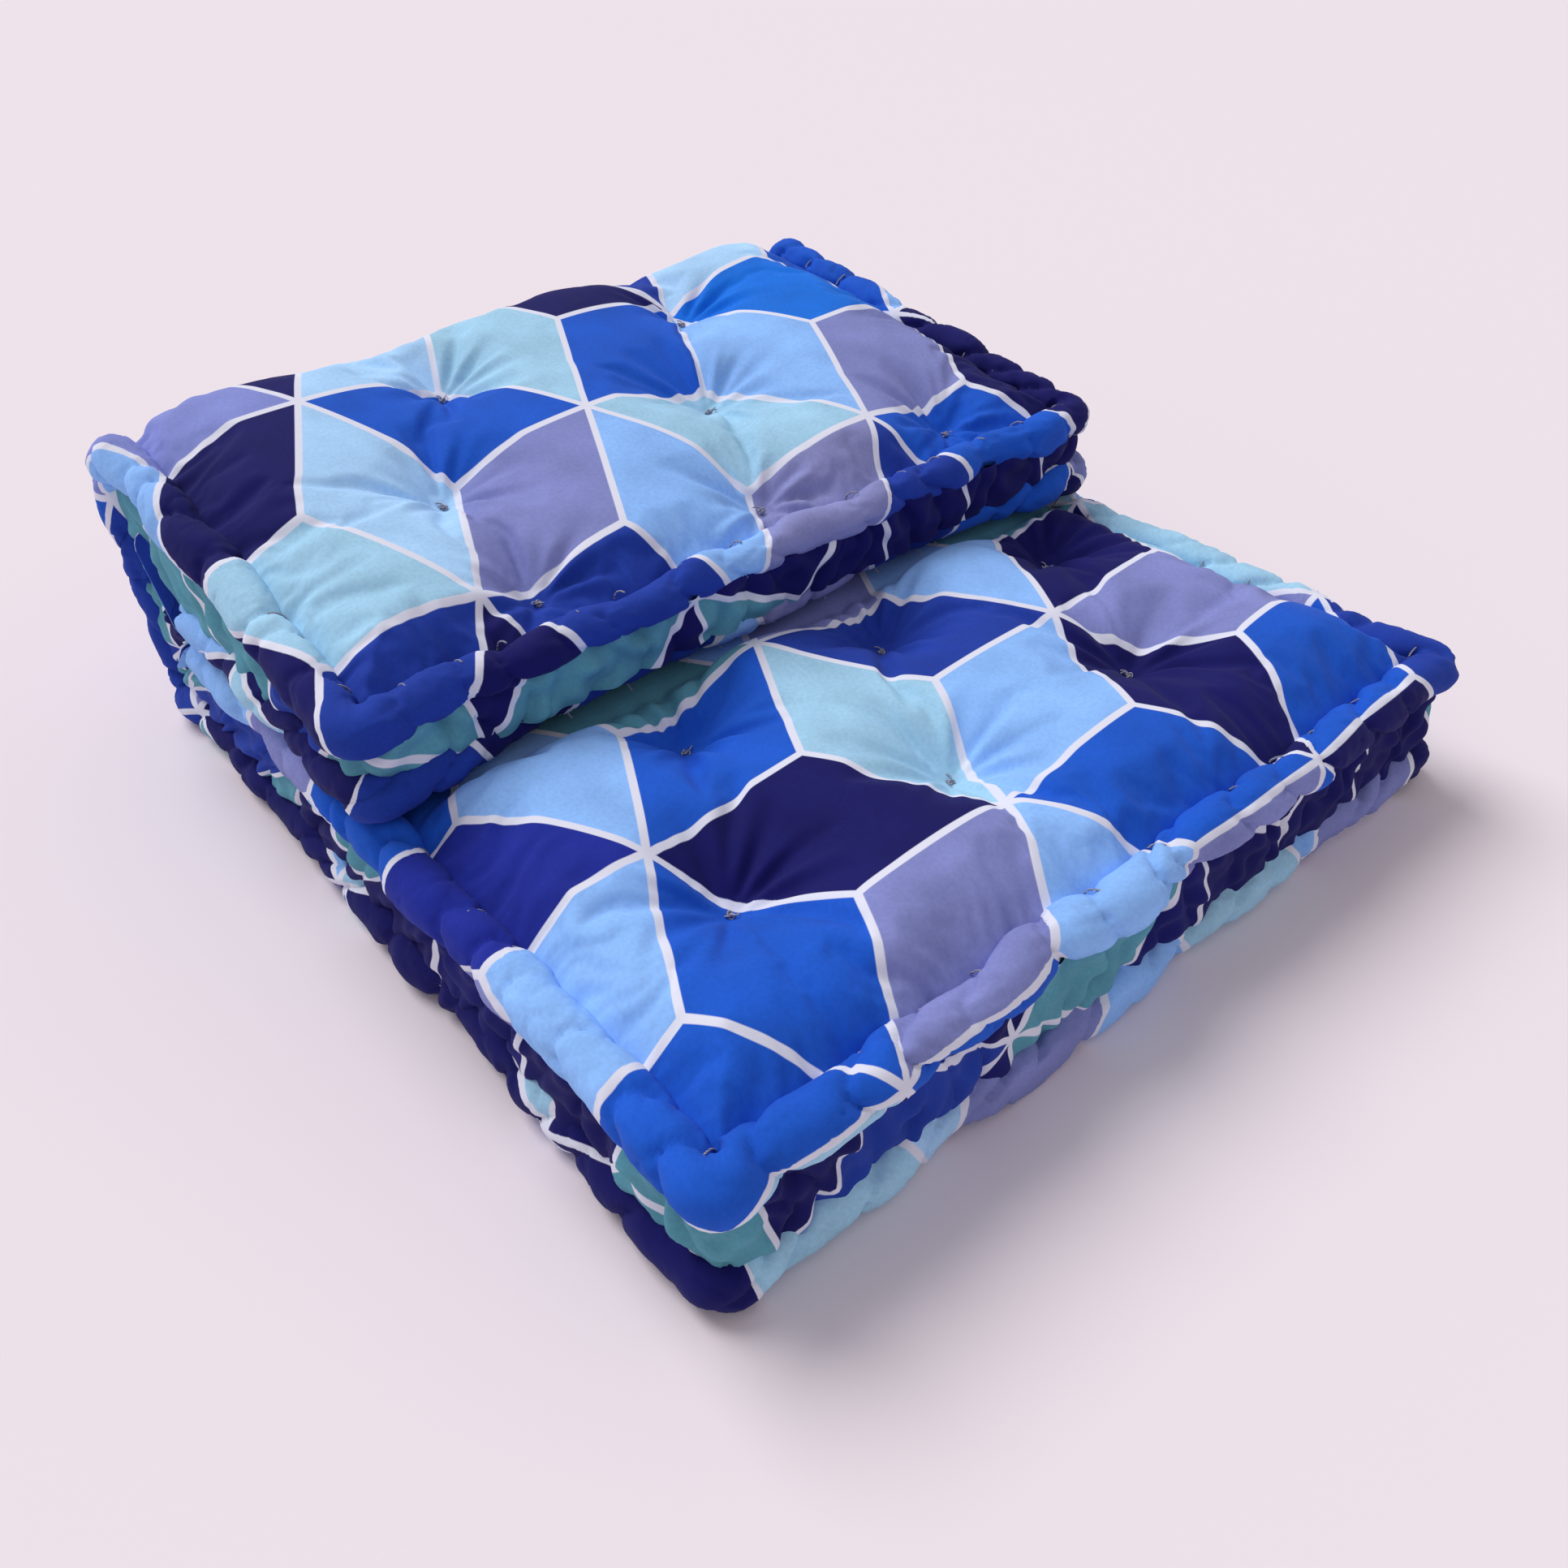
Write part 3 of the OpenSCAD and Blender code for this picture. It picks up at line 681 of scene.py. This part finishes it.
def pillow(x, v, ties, v_front, v_end, crown, spots, rim, seed):
    """Height over the face: a steep rise from the roll's groove, less a funnel at each tie, less
    a pucker beside each pinch, plus creases that run out from the ties."""
    p = np.stack([x, v], -1)
    d = rim_distance(x, v, v_front, v_end)
    rise = 1 - np.exp(-(np.maximum(d - 0.004, 0) / 0.036) ** 1.5)
    h = -roll_r + (roll_r + crown) * rise
    h = h + 0.10 * crown * wobble(p, 0.22, seed) * rise * ease((v_end - v - 0.02) / 0.05)
    for k, (tx, tv) in enumerate(ties):
        r, way = np.hypot(x - tx, v - tv), np.arctan2(v - tv, x - tx)
        funnel = np.exp(-(r / 0.060) ** 1.25)
        h = h - (h + tie_depth) * funnel
        rays = np.sin(7 * way + 2.0 * np.sin(2 * way + k) + k) + 0.6 * np.sin(12 * way + 3 * k)
        h = h + 0.0036 * rays * np.exp(-(((r - 0.035) / 0.032) ** 2))
        fine = np.sin(19 * way + 3.0 * np.sin(3 * way + k))
        h = h + 0.0017 * fine * np.exp(-(((r - 0.045) / 0.028) ** 2))
    s, path = rim
    near = d < 0.09  # only this band is puckered by the roll
    q = p[near]
    # The nearest point of the rim's path, for some 2000 points at a time to save memory
    parts = np.array_split(q, len(q) // 2000 + 1)
    order = [((b[:, None] - path[None, ::2]) ** 2).sum(-1).argmin(1) * 2 for b in parts]
    order = np.concatenate(order)
    along = s[order] + 0.010 * wobble(q, 0.09, seed + 1)
    gap, strength = nearest(along, spots)
    dd = d[near]
    past = np.maximum(dd - 0.02, 0)
    pucker = np.exp(-gap / (0.007 + 0.12 * past)) * np.exp(-past / 0.026)
    h[near] -= 0.0110 * strength * pucker
    gathered = wobble(along[:, None], 0.021, seed + 4, 9)
    h[near] += 0.0011 * gathered * np.exp(-past / 0.030) * ease(dd / 0.02)
    return h


def press_out(obj, hold, grow, pressure, cap, steps=20):
    """Cloth simulation without gravity. hold (0 to 1) pins points; no point moves more than cap."""
    mesh = obj.data
    start = np.zeros(len(mesh.vertices) * 3)
    mesh.vertices.foreach_get("co", start)
    start = start.reshape(-1, 3)
    group = obj.vertex_groups.new(name="hold")
    for level in np.unique(np.round(hold, 2)):
        if level > 0:
            group.add(np.flatnonzero(np.round(hold, 2) == level).tolist(), float(level), "REPLACE")
    mod = obj.modifiers.new("cloth", "CLOTH")
    cloth = mod.settings
    cloth.quality = 5
    cloth.mass = 0.25
    cloth.tension_stiffness = 12
    cloth.compression_stiffness = 12
    cloth.shear_stiffness = 4
    cloth.bending_stiffness = 1.6
    cloth.tension_damping = cloth.compression_damping = 12
    cloth.vertex_group_mass = "hold"
    cloth.shrink_min = -grow
    cloth.use_pressure = True
    cloth.uniform_pressure_force = pressure
    cloth.effector_weights.gravity = 0
    mod.collision_settings.use_collision = False
    mod.collision_settings.use_self_collision = False
    mod.point_cache.frame_end = steps
    scene = bpy.context.scene
    for step in range(1, steps + 1):
        scene.frame_set(step)
    done = obj.evaluated_get(bpy.context.evaluated_depsgraph_get())
    end = np.zeros(len(start) * 3)
    done.data.vertices.foreach_get("co", end)
    end = end.reshape(-1, 3)
    obj.modifiers.remove(mod)
    obj.vertex_groups.remove(group)
    scene.frame_set(1)
    move = end - start
    size = np.linalg.norm(move, axis=1)[:, None]
    print(obj.name, "moved by up to", round(float(size.max()) * 1000, 1), "mm")
    move *= np.minimum(1, cap / np.maximum(size, 1e-9)) * (1 - hold[:, None] ** 4)
    mesh.vertices.foreach_set("co", (start + move).ravel())
    mesh.update()


def settle(mesh, ceiling=0.3400):
    """Keep cloth off the floor, and let only 0.4 of what stands above the ceiling remain."""
    co = np.zeros(len(mesh.vertices) * 3)
    mesh.vertices.foreach_get("co", co)
    z = np.maximum(co[2::3], 0.0002)
    co[2::3] = np.where(z > ceiling, ceiling + 0.4 * (z - ceiling), z)
    mesh.vertices.foreach_set("co", co)
    mesh.update()


def face_cloth(
    name, place, ties, v_front, v_end, crown_at, roll_name, material, seed, step, flip=False
):
    """One face of the case: a grid over x and v, raised as a pillow, then pressed out."""
    nx = int((2 * half - 2 * cloth_in) / step) + 1
    nv = int((v_end - v_front - cloth_in) / step) + 1
    x, v = np.meshgrid(
        np.linspace(-half + cloth_in, half - cloth_in, nx),
        np.linspace(v_front + cloth_in, v_end, nv),
    )
    spots, s, path, _ = rolls[roll_name]
    crown = crown_at(x, v)
    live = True
    h = pillow(x, v, ties, v_front, v_end, crown * (0.85 if live else 1.0), spots, (s, path), seed)
    points = place(x, v, h)
    obj = grid_object(name, points, run_on(np.stack([x, v], -1), place), material, flip=flip)
    if live:
        d = rim_distance(x, v, v_front, v_end)
        hold = 1 - ease((d - 0.016) / 0.020)
        for tx, tv in ties:
            hold = np.maximum(hold, 1 - ease((np.hypot(x - tx, v - tv) - 0.004) / 0.012))
        hold = np.maximum(hold, 1 - ease((v_end - v - 0.004) / 0.03))
        hold = np.maximum(hold, 1 - ease(crown / 0.006))
        press_out(obj, hold.ravel(), grow=0.045, pressure=2.2, cap=0.012)
        if step < 0.006:
            fine = obj.modifiers.new("smooth", "SUBSURF")
            fine.levels = fine.render_levels = 1
    settle(obj.data)
    print(name, len(obj.data.polygons), "faces")
    return obj


def crown_top(x, v):
    """Free height of the lower leaf's upper face: none where the upper leaf lies on it."""
    swell = 1 - ease((v - (upper_front - 0.012)) / 0.030)
    ahead = np.exp(-(((v - (upper_front - 0.02)) / 0.06) ** 2)) * ease((x + half - 0.10) / 0.16)
    return 0.0005 + (0.022 + 0.010 * ahead) * swell


def crown_outer(x, v):
    """Free height of the outer face: full on top, less round the corner and on the back."""
    return 0.0155 - 0.0055 * ease((v - 0.20) / 0.22)


def crown_flat(x, v):
    """Height of a face that lies against the other leaf."""
    return 0.0 * x + 0.0002


def crown_bottom(x, v):
    """Height of the lower face: none on the floor, a little up the back."""
    return 0.0002 + 0.0098 * ease((v - 0.43) / 0.08)


lower_top_cover = face_cloth(
    "lower_top_cover", place_top, lower_ties, front, crease[0], crown_top,
    "lower_top_roll", lower_print, 51, 0.005,
)
upper_outer_cover = face_cloth(
    "upper_outer_cover", place_outer, upper_ties, upper_front, outer_end, crown_outer,
    "upper_outer_roll", upper_print, 61, 0.005,
)
lower_bottom_cover = face_cloth(
    "lower_bottom_cover", place_bottom, lower_ties, front, bottom_end, crown_bottom,
    "lower_bottom_roll", upper_print, 71, 0.007, flip=True,
)
upper_inner_cover = face_cloth(
    "upper_inner_cover", place_inner, upper_ties, upper_front, crease[0], crown_flat,
    "upper_inner_roll", upper_print, 81, 0.007, flip=True,
)

# %% [markdown]
# The border is the strip between two rolls. It is cut longer than the rim and gathered, so it
# falls into upright pouches with sharp creases between them. Its back ends follow the fold planes.

# %% Borders
def gathers(along, up, seed, pitch=0.042, depth=0.010):
    """Outward height of a gathered strip: sharp creases a pitch apart, pouches between them."""
    total = along.max()
    spots = pinch_places(total, pitch, seed)
    p = np.stack([along, up], -1)
    bent = along + 0.010 * wobble(p, 0.10, seed + 1)
    gap, strength = nearest(bent, spots)
    return 0.0035 - depth * strength * np.exp(-gap / 0.006) + 0.0022 * wobble(p, 0.035, seed + 2)


border_in = 0.014  # how far the strip lies inside the rolls' outer side
border_gap = 0.026  # from a face of the leaf to the strip's edge


def border(name, v_front, low_z, high_z, cut, seed, body):
    """Strip round the rim, set in from the rolls; cut(z) is where it ends at the fold."""
    path, out, s = rim_path(v_front, crease[0], border_in, 0.003)
    t = np.linspace(0, 1, 25)[None, :]
    x0, y0 = path[:, :1], path[:, 1:]
    z = low_z(y0) + t * (high_z(y0) - low_z(y0))
    turn = v_front + corner_r
    far = np.maximum(y0 - turn, 0) / (crease[0] - turn)
    y = np.minimum(y0, turn) + far * (cut(z) - turn)
    bulge = gathers(s[:, None] + 0 * t, z, seed) + 0.004 * np.sin(np.pi * t) - 0.002
    points = np.stack([x0 + out[:, :1] * bulge, y + out[:, 1:] * bulge, z], -1)
    cloth = np.stack([s[:, None] * 1.25 + 0 * t, z], -1)
    obj = grid_object(name, points, cloth, border_print)
    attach(obj, body)
    print(name, len(obj.data.polygons), "faces")
    return obj


def on_plane(pivot):
    """y of the fold plane through the crease and a hinge, at height z."""
    return lambda z: crease[0] + (z - crease[1]) * (pivot[0] - crease[0]) / (pivot[1] - crease[1])


lower_border = border(
    "lower_border", front, lambda y: border_gap + 0 * y, lambda y: leaf_top - border_gap + 0 * y,
    on_plane(hinge["lower_fold"]), 91, "lower_leaf",
)
upper_border = border(
    "upper_border", upper_front, lambda y: upper_low + border_gap + 0 * y,
    lambda y: roof(y) - border_gap * sec, on_plane(hinge["upper_fold"]), 101, "upper_leaf",
)
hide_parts("lower_front_border", "lower_left_border", "lower_right_border")
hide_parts("upper_front_border", "upper_left_border", "upper_right_border")


def fold_side(name, side, seed):
    """Wedge of border cloth at the fold's side: its creases fan out from the crease."""
    line_y = np.concatenate([bottom_line, top_line[::-1]])
    keep = line_y[line_y[:, 0] > crease[0]]
    centre = np.array([back - 0.08, middle])
    inner = centre + (keep - centre) * 0.72
    angle = np.arctan2(inner[:, 1] - crease[1], inner[:, 0] - crease[0])
    order = np.argsort(angle)
    far = np.linalg.norm(inner - crease, axis=1)
    a0, a1 = (np.arctan2(*(hinge[k] - crease)[::-1]) for k in ("lower_fold", "upper_fold"))
    a = np.linspace(a0, a1, 70)[:, None]
    reach = np.interp(a, angle[order], far[order])
    t = np.linspace(0, 1, 46)[None, :] ** 0.9
    rho = 0.002 + t * (reach - 0.002)
    fan = gathers((a - a0) * 0.12 + 0 * t, rho, seed, pitch=0.030, depth=0.009)
    x = side * (half - border_in + fan * ease(rho / 0.05))
    points = np.stack([x + 0 * rho, crease[0] + rho * np.cos(a), crease[1] + rho * np.sin(a)], -1)
    cloth = np.stack([0.4 + a * 0.16 + 0 * rho, rho], -1)
    obj = grid_object(name, points, cloth, border_print, flip=side > 0)
    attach(obj, "fold_back")
    return obj


fold_left_side = fold_side("fold_left_side", -1, 111)
fold_right_side = fold_side("fold_right_side", 1, 121)
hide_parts("fold_left_border")
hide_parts("fold_right_border")

# %% [markdown]
# At the crease the inner cloth is tucked into two deep pleats, one on each fold plane. Each holds
# the cloth, the rolls and the borders, and is shaped to spread into a flat stretch of face when
# opened, though nothing here opens it. A pleat lies within 3 mm of its fold plane at rest.

# %% Pleats at the crease
def pleat(name, pivot, turn, sign, seed):
    """For each share w of the turn, a cross-section with rolls and borders whose top is at
    radius height / cos(angle from upright), so that the opened top is flat."""
    arm = crease - pivot
    full = float(np.hypot(*arm))
    u = arm / full
    normal = np.array([-u[1], u[0]]) * sign
    t = np.linspace(0, 1, 33)
    w = ease(t)
    angle = w * np.radians(turn) - np.radians(turn) / 2
    top = full * np.cos(np.radians(turn) / 2) / np.cos(angle)
    low, side = 0.020, half - border_in - 0.002
    # Each column is (x, drop from the top, share): radius = low + share (top - drop - low)
    lift = np.linspace(0, 1, 9)[:-1]
    ring = np.radians(np.linspace(-60, 180, 15))
    across = np.linspace(-half + 2 * roll_r, half - 2 * roll_r, 40)[1:-1]
    dip = 0.012 * np.exp(-(half - 2 * roll_r - np.abs(across)) / 0.02)
    left = np.concatenate([-side + 0 * lift, -(half - roll_r) - roll_r * np.cos(ring)])
    drop = np.concatenate([2 * roll_r + 0 * lift, roll_r - roll_r * np.sin(ring)])
    rise = np.concatenate([lift, 1 + 0 * ring])
    x = np.concatenate([left, across, -left[::-1]]) + 0 * top[:, None]
    drop = np.concatenate([drop, dip, drop[::-1]])
    rise = np.concatenate([rise, 1 + 0 * across, rise[::-1]])
    rho = low + rise * (top[:, None] - drop - low)
    offset = (t - 0.5)[:, None] * 0.003
    y = pivot[0] + rho * u[0] + offset * normal[0]
    z = pivot[1] + rho * u[1] + offset * normal[1]
    points = np.stack([x, y, z], -1)
    steps = np.hypot(np.diff(x, axis=1), np.diff(rho, axis=1))
    run = np.pad(np.cumsum(steps, 1), ((0, 0), (1, 0)))
    path_v = crease[0] + (w * np.radians(turn))[:, None] * full
    cloth = np.stack([run - run[:, -1:] / 2, path_v + 0 * run], -1)
    obj = grid_object(name, points, cloth, lower_print if sign > 0 else upper_print, flip=sign > 0)
    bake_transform(obj)
    return obj


lower_pleat = pleat("lower_pleat", hinge["lower_fold"], 90.0, -1, 131)
upper_pleat = pleat("upper_pleat", hinge["upper_fold"], 98.48, -1, 141)

# %% [markdown]
# The batting is laid in three layers in each leaf. Each layer is a soft block with rounded edges
# that thins where a tie draws the leaf together, and it stays just inside the case.

# %% Batting layers
def soft_block(name, fn, shape, body, *nodes):
    """Closed block: fn places each point of the unit cube's six sides, which are then joined."""
    lines = [np.linspace(0, 1, n) for n in shape]
    points, faces, base = [], [], 0
    for fixed in (2, 1, 0):
        p, q = (line for axis, line in enumerate(lines) if axis != fixed)
        sides = [np.full((len(p), len(q)), end) for end in (0.0, 1.0)]
        for flat in sides:
            cube = list(np.meshgrid(p, q, indexing="ij"))
            cube.insert(fixed, flat)
            points.append(fn(*cube).reshape(-1, 3))
            faces.append(base + quads_of(len(p), len(q)))
            base += len(points[-1])
    mesh = bpy.data.meshes.new(name)
    mesh.from_pydata(np.concatenate(points).tolist(), [], np.concatenate(faces).tolist())
    bm = bmesh.new()
    bm.from_mesh(mesh)
    bmesh.ops.remove_doubles(bm, verts=bm.verts, dist=1e-5)
    bmesh.ops.recalc_face_normals(bm, faces=bm.faces)
    bm.to_mesh(mesh)
    bm.free()
    obj = new_piece(name, mesh, batting)
    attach(obj, body)
    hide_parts(*nodes)
    return obj


def drawn(x, y, ties):
    """1 at a tie, falling to 0 about 80 mm away."""
    return np.max([np.exp(-(np.hypot(x - tx, y - ty) / 0.045) ** 1.2) for tx, ty in ties], axis=0)


def layer(low, high, ties, v_front, cut, inset):
    """Block between two heights with rounded edges: low and high are (height at y, draw at a
    tie), and inside it z runs from one to the other and is drawn in round each tie."""

    def fn(a, b, c):
        near_edge = np.clip(np.minimum(np.minimum(a, 1 - a) * 14, b * 14), 0, 1)
        soft = np.sqrt(1 - (1 - near_edge) ** 2)
        c = 0.5 + (c - 0.5) * (0.15 + 0.85 * soft)
        x = (a - 0.5) * 2 * (half - inset)
        start = v_front + inset
        y_line = start + b * (crease[0] - start)
        z = low[0](y_line) * (1 - c) + high[0](y_line) * c
        y = start + b * (cut(z) - 0.006 - start)
        d = drawn(x, y, ties)
        z = z + d * (low[1] * (1 - c) + high[1] * c)
        return np.stack([x, y, z], -1)

    return fn


def level(z):
    """A level height."""
    return lambda y: z + 0 * y


def share(t, drop=0.0):
    """Height a share t of the way from the upper leaf's lower face to the roof, less drop."""
    return lambda y: upper_low + t * (roof(y) - upper_low) - drop


edge_in = (0.048, 0.030, 0.048)  # how far each layer stays inside the rim
lower_levels = [(0.008, 0.030), (0.044, 0.012), (0.104, -0.018), (leaf_top - 0.010, -0.034)]
upper_levels = [
    (share(0, -0.010), 0.034), (share(0.32), 0.012), (share(0.66), -0.018),
    (share(1, 0.012), -0.034),
]
for k, part in enumerate(("bottom", "middle", "top")):
    (z0, draw0), (z1, draw1) = lower_levels[k : k + 2]
    fn = layer(
        (level(z0 + 0.0006), draw0), (level(z1 - 0.0006), draw1), lower_ties, front,
        on_plane(hinge["lower_fold"]), edge_in[k],
    )
    soft_block(f"lower_{part}_batting", fn, (64, 60, 4), "lower_leaf", f"lower_{part}_batt")
for k, part in enumerate(("inner", "middle", "outer")):
    fn = layer(
        *upper_levels[k : k + 2], upper_ties, upper_front, on_plane(hinge["upper_fold"]), edge_in[k]
    )
    soft_block(f"upper_{part}_batting", fn, (64, 44, 4), "upper_leaf", f"upper_{part}_batt")


def wedge(r0, r1, inset):
    """Block of the fold: c runs between two shares of the way from the crease to the back."""
    outer = np.concatenate([bottom_line, top_line[::-1]])
    outer = outer[outer[:, 0] > crease[0]]
    angle = np.arctan2(outer[:, 1] - crease[1], outer[:, 0] - crease[0])
    order = np.argsort(angle)
    reach = np.linalg.norm(outer - crease, axis=1) - 0.008
    a0, a1 = (np.arctan2(*(hinge[k] - crease)[::-1]) for k in ("lower_fold", "upper_fold"))

    def fn(a, b, c):
        x = (a - 0.5) * 2 * (half - inset)
        way = a0 + 0.03 + b * (a1 - a0 - 0.06)
        rho = np.interp(way, angle[order], reach[order]) * (r0 + c * (r1 - r0))
        return np.stack([x, crease[0] + rho * np.cos(way), crease[1] + rho * np.sin(way)], -1)

    return fn


for part, r0, r1, inset in (
    ("inner", 0.06, 0.34, 0.048), ("middle", 0.35, 0.68, 0.030), ("outer", 0.69, 0.97, 0.068)
):
    fn = wedge(r0, r1, inset)
    soft_block(f"fold_{part}_batting", fn, (50, 24, 6), "fold_back", f"fold_{part}_batt")
print("nine layers of batting")

# %% [markdown]
# Each tie ends in a small knot of waxed twine at the bottom of its funnel, with two short tails.
# A knot is a trefoil: a point that goes twice round while it weaves up and down three times.

# %% Knots and threads
def tube(path, r, sides=6, closed=False):
    """Points of a tube round a path: rings at right angles to the way along it."""
    way = np.gradient(path, axis=0)
    if closed:
        way = np.roll(path, -1, 0) - np.roll(path, 1, 0)
    way /= np.linalg.norm(way, axis=1)[:, None]
    ref = np.where(np.abs(way[:, 2:3]) > 0.9, [[1.0, 0, 0]], [[0, 0, 1.0]])
    u = np.cross(way, ref)
    u /= np.linalg.norm(u, axis=1)[:, None]
    w = np.cross(way, u)
    a = np.linspace(0, 2 * np.pi, sides, endpoint=False)[None, :, None]
    r = np.broadcast_to(r, len(path))[:, None, None]
    return path[:, None, :] + r * (np.cos(a) * u[:, None, :] + np.sin(a) * w[:, None, :])


def tube_parts(parts, name, body, *nodes):
    """One mesh of many tubes, each (points, closed)."""
    verts, faces, base = [], [], 0
    for pts, closed in parts:
        rows, cols = pts.shape[:2]
        r = np.arange(rows if closed else rows - 1)[:, None]
        c = np.arange(cols)[None, :]
        r1, c1 = (r + 1) % rows, (c + 1) % cols
        quad = base + np.stack([r * cols + c, r1 * cols + c, r1 * cols + c1, r * cols + c1], -1)
        faces += quad.reshape(-1, 4).tolist()
        if not closed:
            faces.append((base + np.arange(cols)).tolist())
            faces.append((base + (rows - 1) * cols + np.arange(cols))[::-1].tolist())
        verts.append(pts.reshape(-1, 3))
        base += rows * cols
    mesh = bpy.data.meshes.new(name)
    mesh.from_pydata(np.concatenate(verts).tolist(), [], faces)
    bm = bmesh.new()
    bm.from_mesh(mesh)
    bmesh.ops.recalc_face_normals(bm, faces=bm.faces)
    bm.to_mesh(mesh)
    bm.free()
    obj = new_piece(name, mesh, twine)
    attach(obj, body)
    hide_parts(*nodes)
    print(name, len(mesh.polygons), "faces")


def knot(place, up, seed):
    """Trefoil of 1 mm twine about 8 mm across, and two tails."""
    t = np.linspace(0, 2 * np.pi, 44, endpoint=False)
    loop = [np.sin(t) + 2 * np.sin(2 * t), np.cos(t) - 2 * np.cos(2 * t), -1.1 * np.sin(3 * t)]
    loop = np.stack(loop, 1) * 0.0013 + [0, 0, 0.0025]
    rng = np.random.default_rng(seed)
    parts = [(tube(loop, 0.0009, closed=True), True)]
    for way in rng.uniform(0, 2 * np.pi, 2):
        q = np.linspace(0, 1, 9)
        tail = [8 * q * np.cos(way + q), 8 * q * np.sin(way + q), 3 + 7 * q - 4 * q * q]
        tail = np.stack(tail, 1) * 0.001
        parts.append((tube(tail, 0.0007, 5), False))
    turn = rng.uniform(0, 2 * np.pi)
    m = np.array([[np.cos(turn), -np.sin(turn), 0], [np.sin(turn), np.cos(turn), 0], [0, 0, 1]])
    return [((p @ m.T) * [1, 1, up] + place, closed) for p, closed in parts]


def thread(x, y, low, high):
    """Straight twine between two knots."""
    z = np.linspace(low + 0.002, high - 0.002, 20)[:, None]
    return tube(np.concatenate([np.full_like(z, x), np.full_like(z, y), z], 1), 0.0012), False


lower_knots, upper_knots, lower_threads, upper_threads = [], [], [], []
for k, (tx, ty) in enumerate(lower_ties):
    low, high = tie_depth, leaf_top - tie_depth
    lower_knots += knot([tx, ty, high], 1, 200 + k) + knot([tx, ty, low], -1, 230 + k)
    lower_threads.append(thread(tx, ty, low, high))
# Behind the crease the leaf's lower side is the fold plane, which climbs towards the hinge
climb = (hinge["upper_fold"][1] - crease[1]) / (hinge["upper_fold"][0] - crease[0])
for k, (tx, ty) in enumerate(upper_ties):
    high = roof(ty) - tie_depth
    low = max(upper_low + tie_depth, crease[1] + (ty - crease[0]) * climb + 0.010)
    upper_knots += knot([tx, ty, high], 1, 260 + k) + knot([tx, ty, low], -1, 290 + k)
    upper_threads.append(thread(tx, ty, low, high))
tube_parts(lower_knots, "lower_knots", "lower_leaf", "lower_tie_knots")
tube_parts(upper_knots, "upper_knots", "upper_leaf", "upper_tie_knots")
tube_parts(lower_threads, "lower_threads", "lower_leaf", "lower_tie_threads")
tube_parts(upper_threads, "upper_threads", "upper_leaf", "upper_tie_threads")

# %% [markdown]
# The twine that pinches each roll shows as a short stitch in the groove between roll and face.

# %% Roll stitches
def roll_stitches(roll_name, place, v_limit):
    """A short arc of twine at each pinch, from the face over the roll's inner shoulder."""
    spots, s, path, out = rolls[roll_name]
    parts = []
    a = np.radians(np.linspace(205, 100, 12))
    for spot in spots:
        k = int(np.clip(np.searchsorted(s, spot), 0, len(s) - 1))
        if path[k, 1] > v_limit:
            continue
        r = roll_r * 0.80 + 0.0012
        x = path[k, 0] + out[k, 0] * r * np.cos(a)
        v = path[k, 1] + out[k, 1] * r * np.cos(a)
        parts.append((tube(place(x, v, r * np.sin(a) - roll_r), 0.0009, 5), False))
    return parts


for part, place, limit, body in (
    ("lower_top", place_top, crease[0] - 0.02, "lower_leaf"),
    ("lower_bottom", place_bottom, 0.40, "lower_leaf"),
    ("upper_outer", place_outer, 0.40, "upper_leaf"),
    ("upper_inner", place_inner, crease[0] - 0.02, "upper_leaf"),
):
    stitches = roll_stitches(f"{part}_roll", place, limit)
    tube_parts(stitches, f"{part}_twine", body, f"{part}_stitches")

# %% [markdown]
# The pieces that lie on one leaf now get that leaf's body. The two outer faces and their rolls
# run round a back corner; they are not bent over a joint and get no body.

# %% Bodies and what each piece stands for
def roll_nodes(part):
    """The three packed rolls of one rim."""
    return [f"{part}_{side}_roll" for side in ("front", "left", "right")]


def bend_over(obj):
    """Bakes a piece's transform into its mesh; the piece is not bent over a joint."""
    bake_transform(obj)


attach(lower_top_cover, "lower_leaf")
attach(lower_top_roll, "lower_leaf")
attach(upper_inner_cover, "upper_leaf")
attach(upper_inner_roll, "upper_leaf")
bend_over(lower_bottom_cover)
bend_over(lower_bottom_roll)
bend_over(upper_outer_cover)
bend_over(upper_outer_roll)
for obj, nodes in (
    (lower_top_cover, ["lower_top_face"]),
    (lower_top_roll, roll_nodes("lower_top")),
    (upper_inner_cover, ["upper_inner_face"]),
    (upper_inner_roll, roll_nodes("upper_inner")),
    (lower_bottom_cover, ["lower_bottom_face"]),
    (lower_bottom_roll, roll_nodes("lower_bottom")),
    (upper_outer_cover, ["upper_outer_face", "fold_back_face"]),
    (upper_outer_roll, roll_nodes("upper_outer") + ["fold_left_roll", "fold_right_roll"]),
):
    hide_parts(*nodes)
print("eight pieces of case and roll stand for the packed faces and rolls")
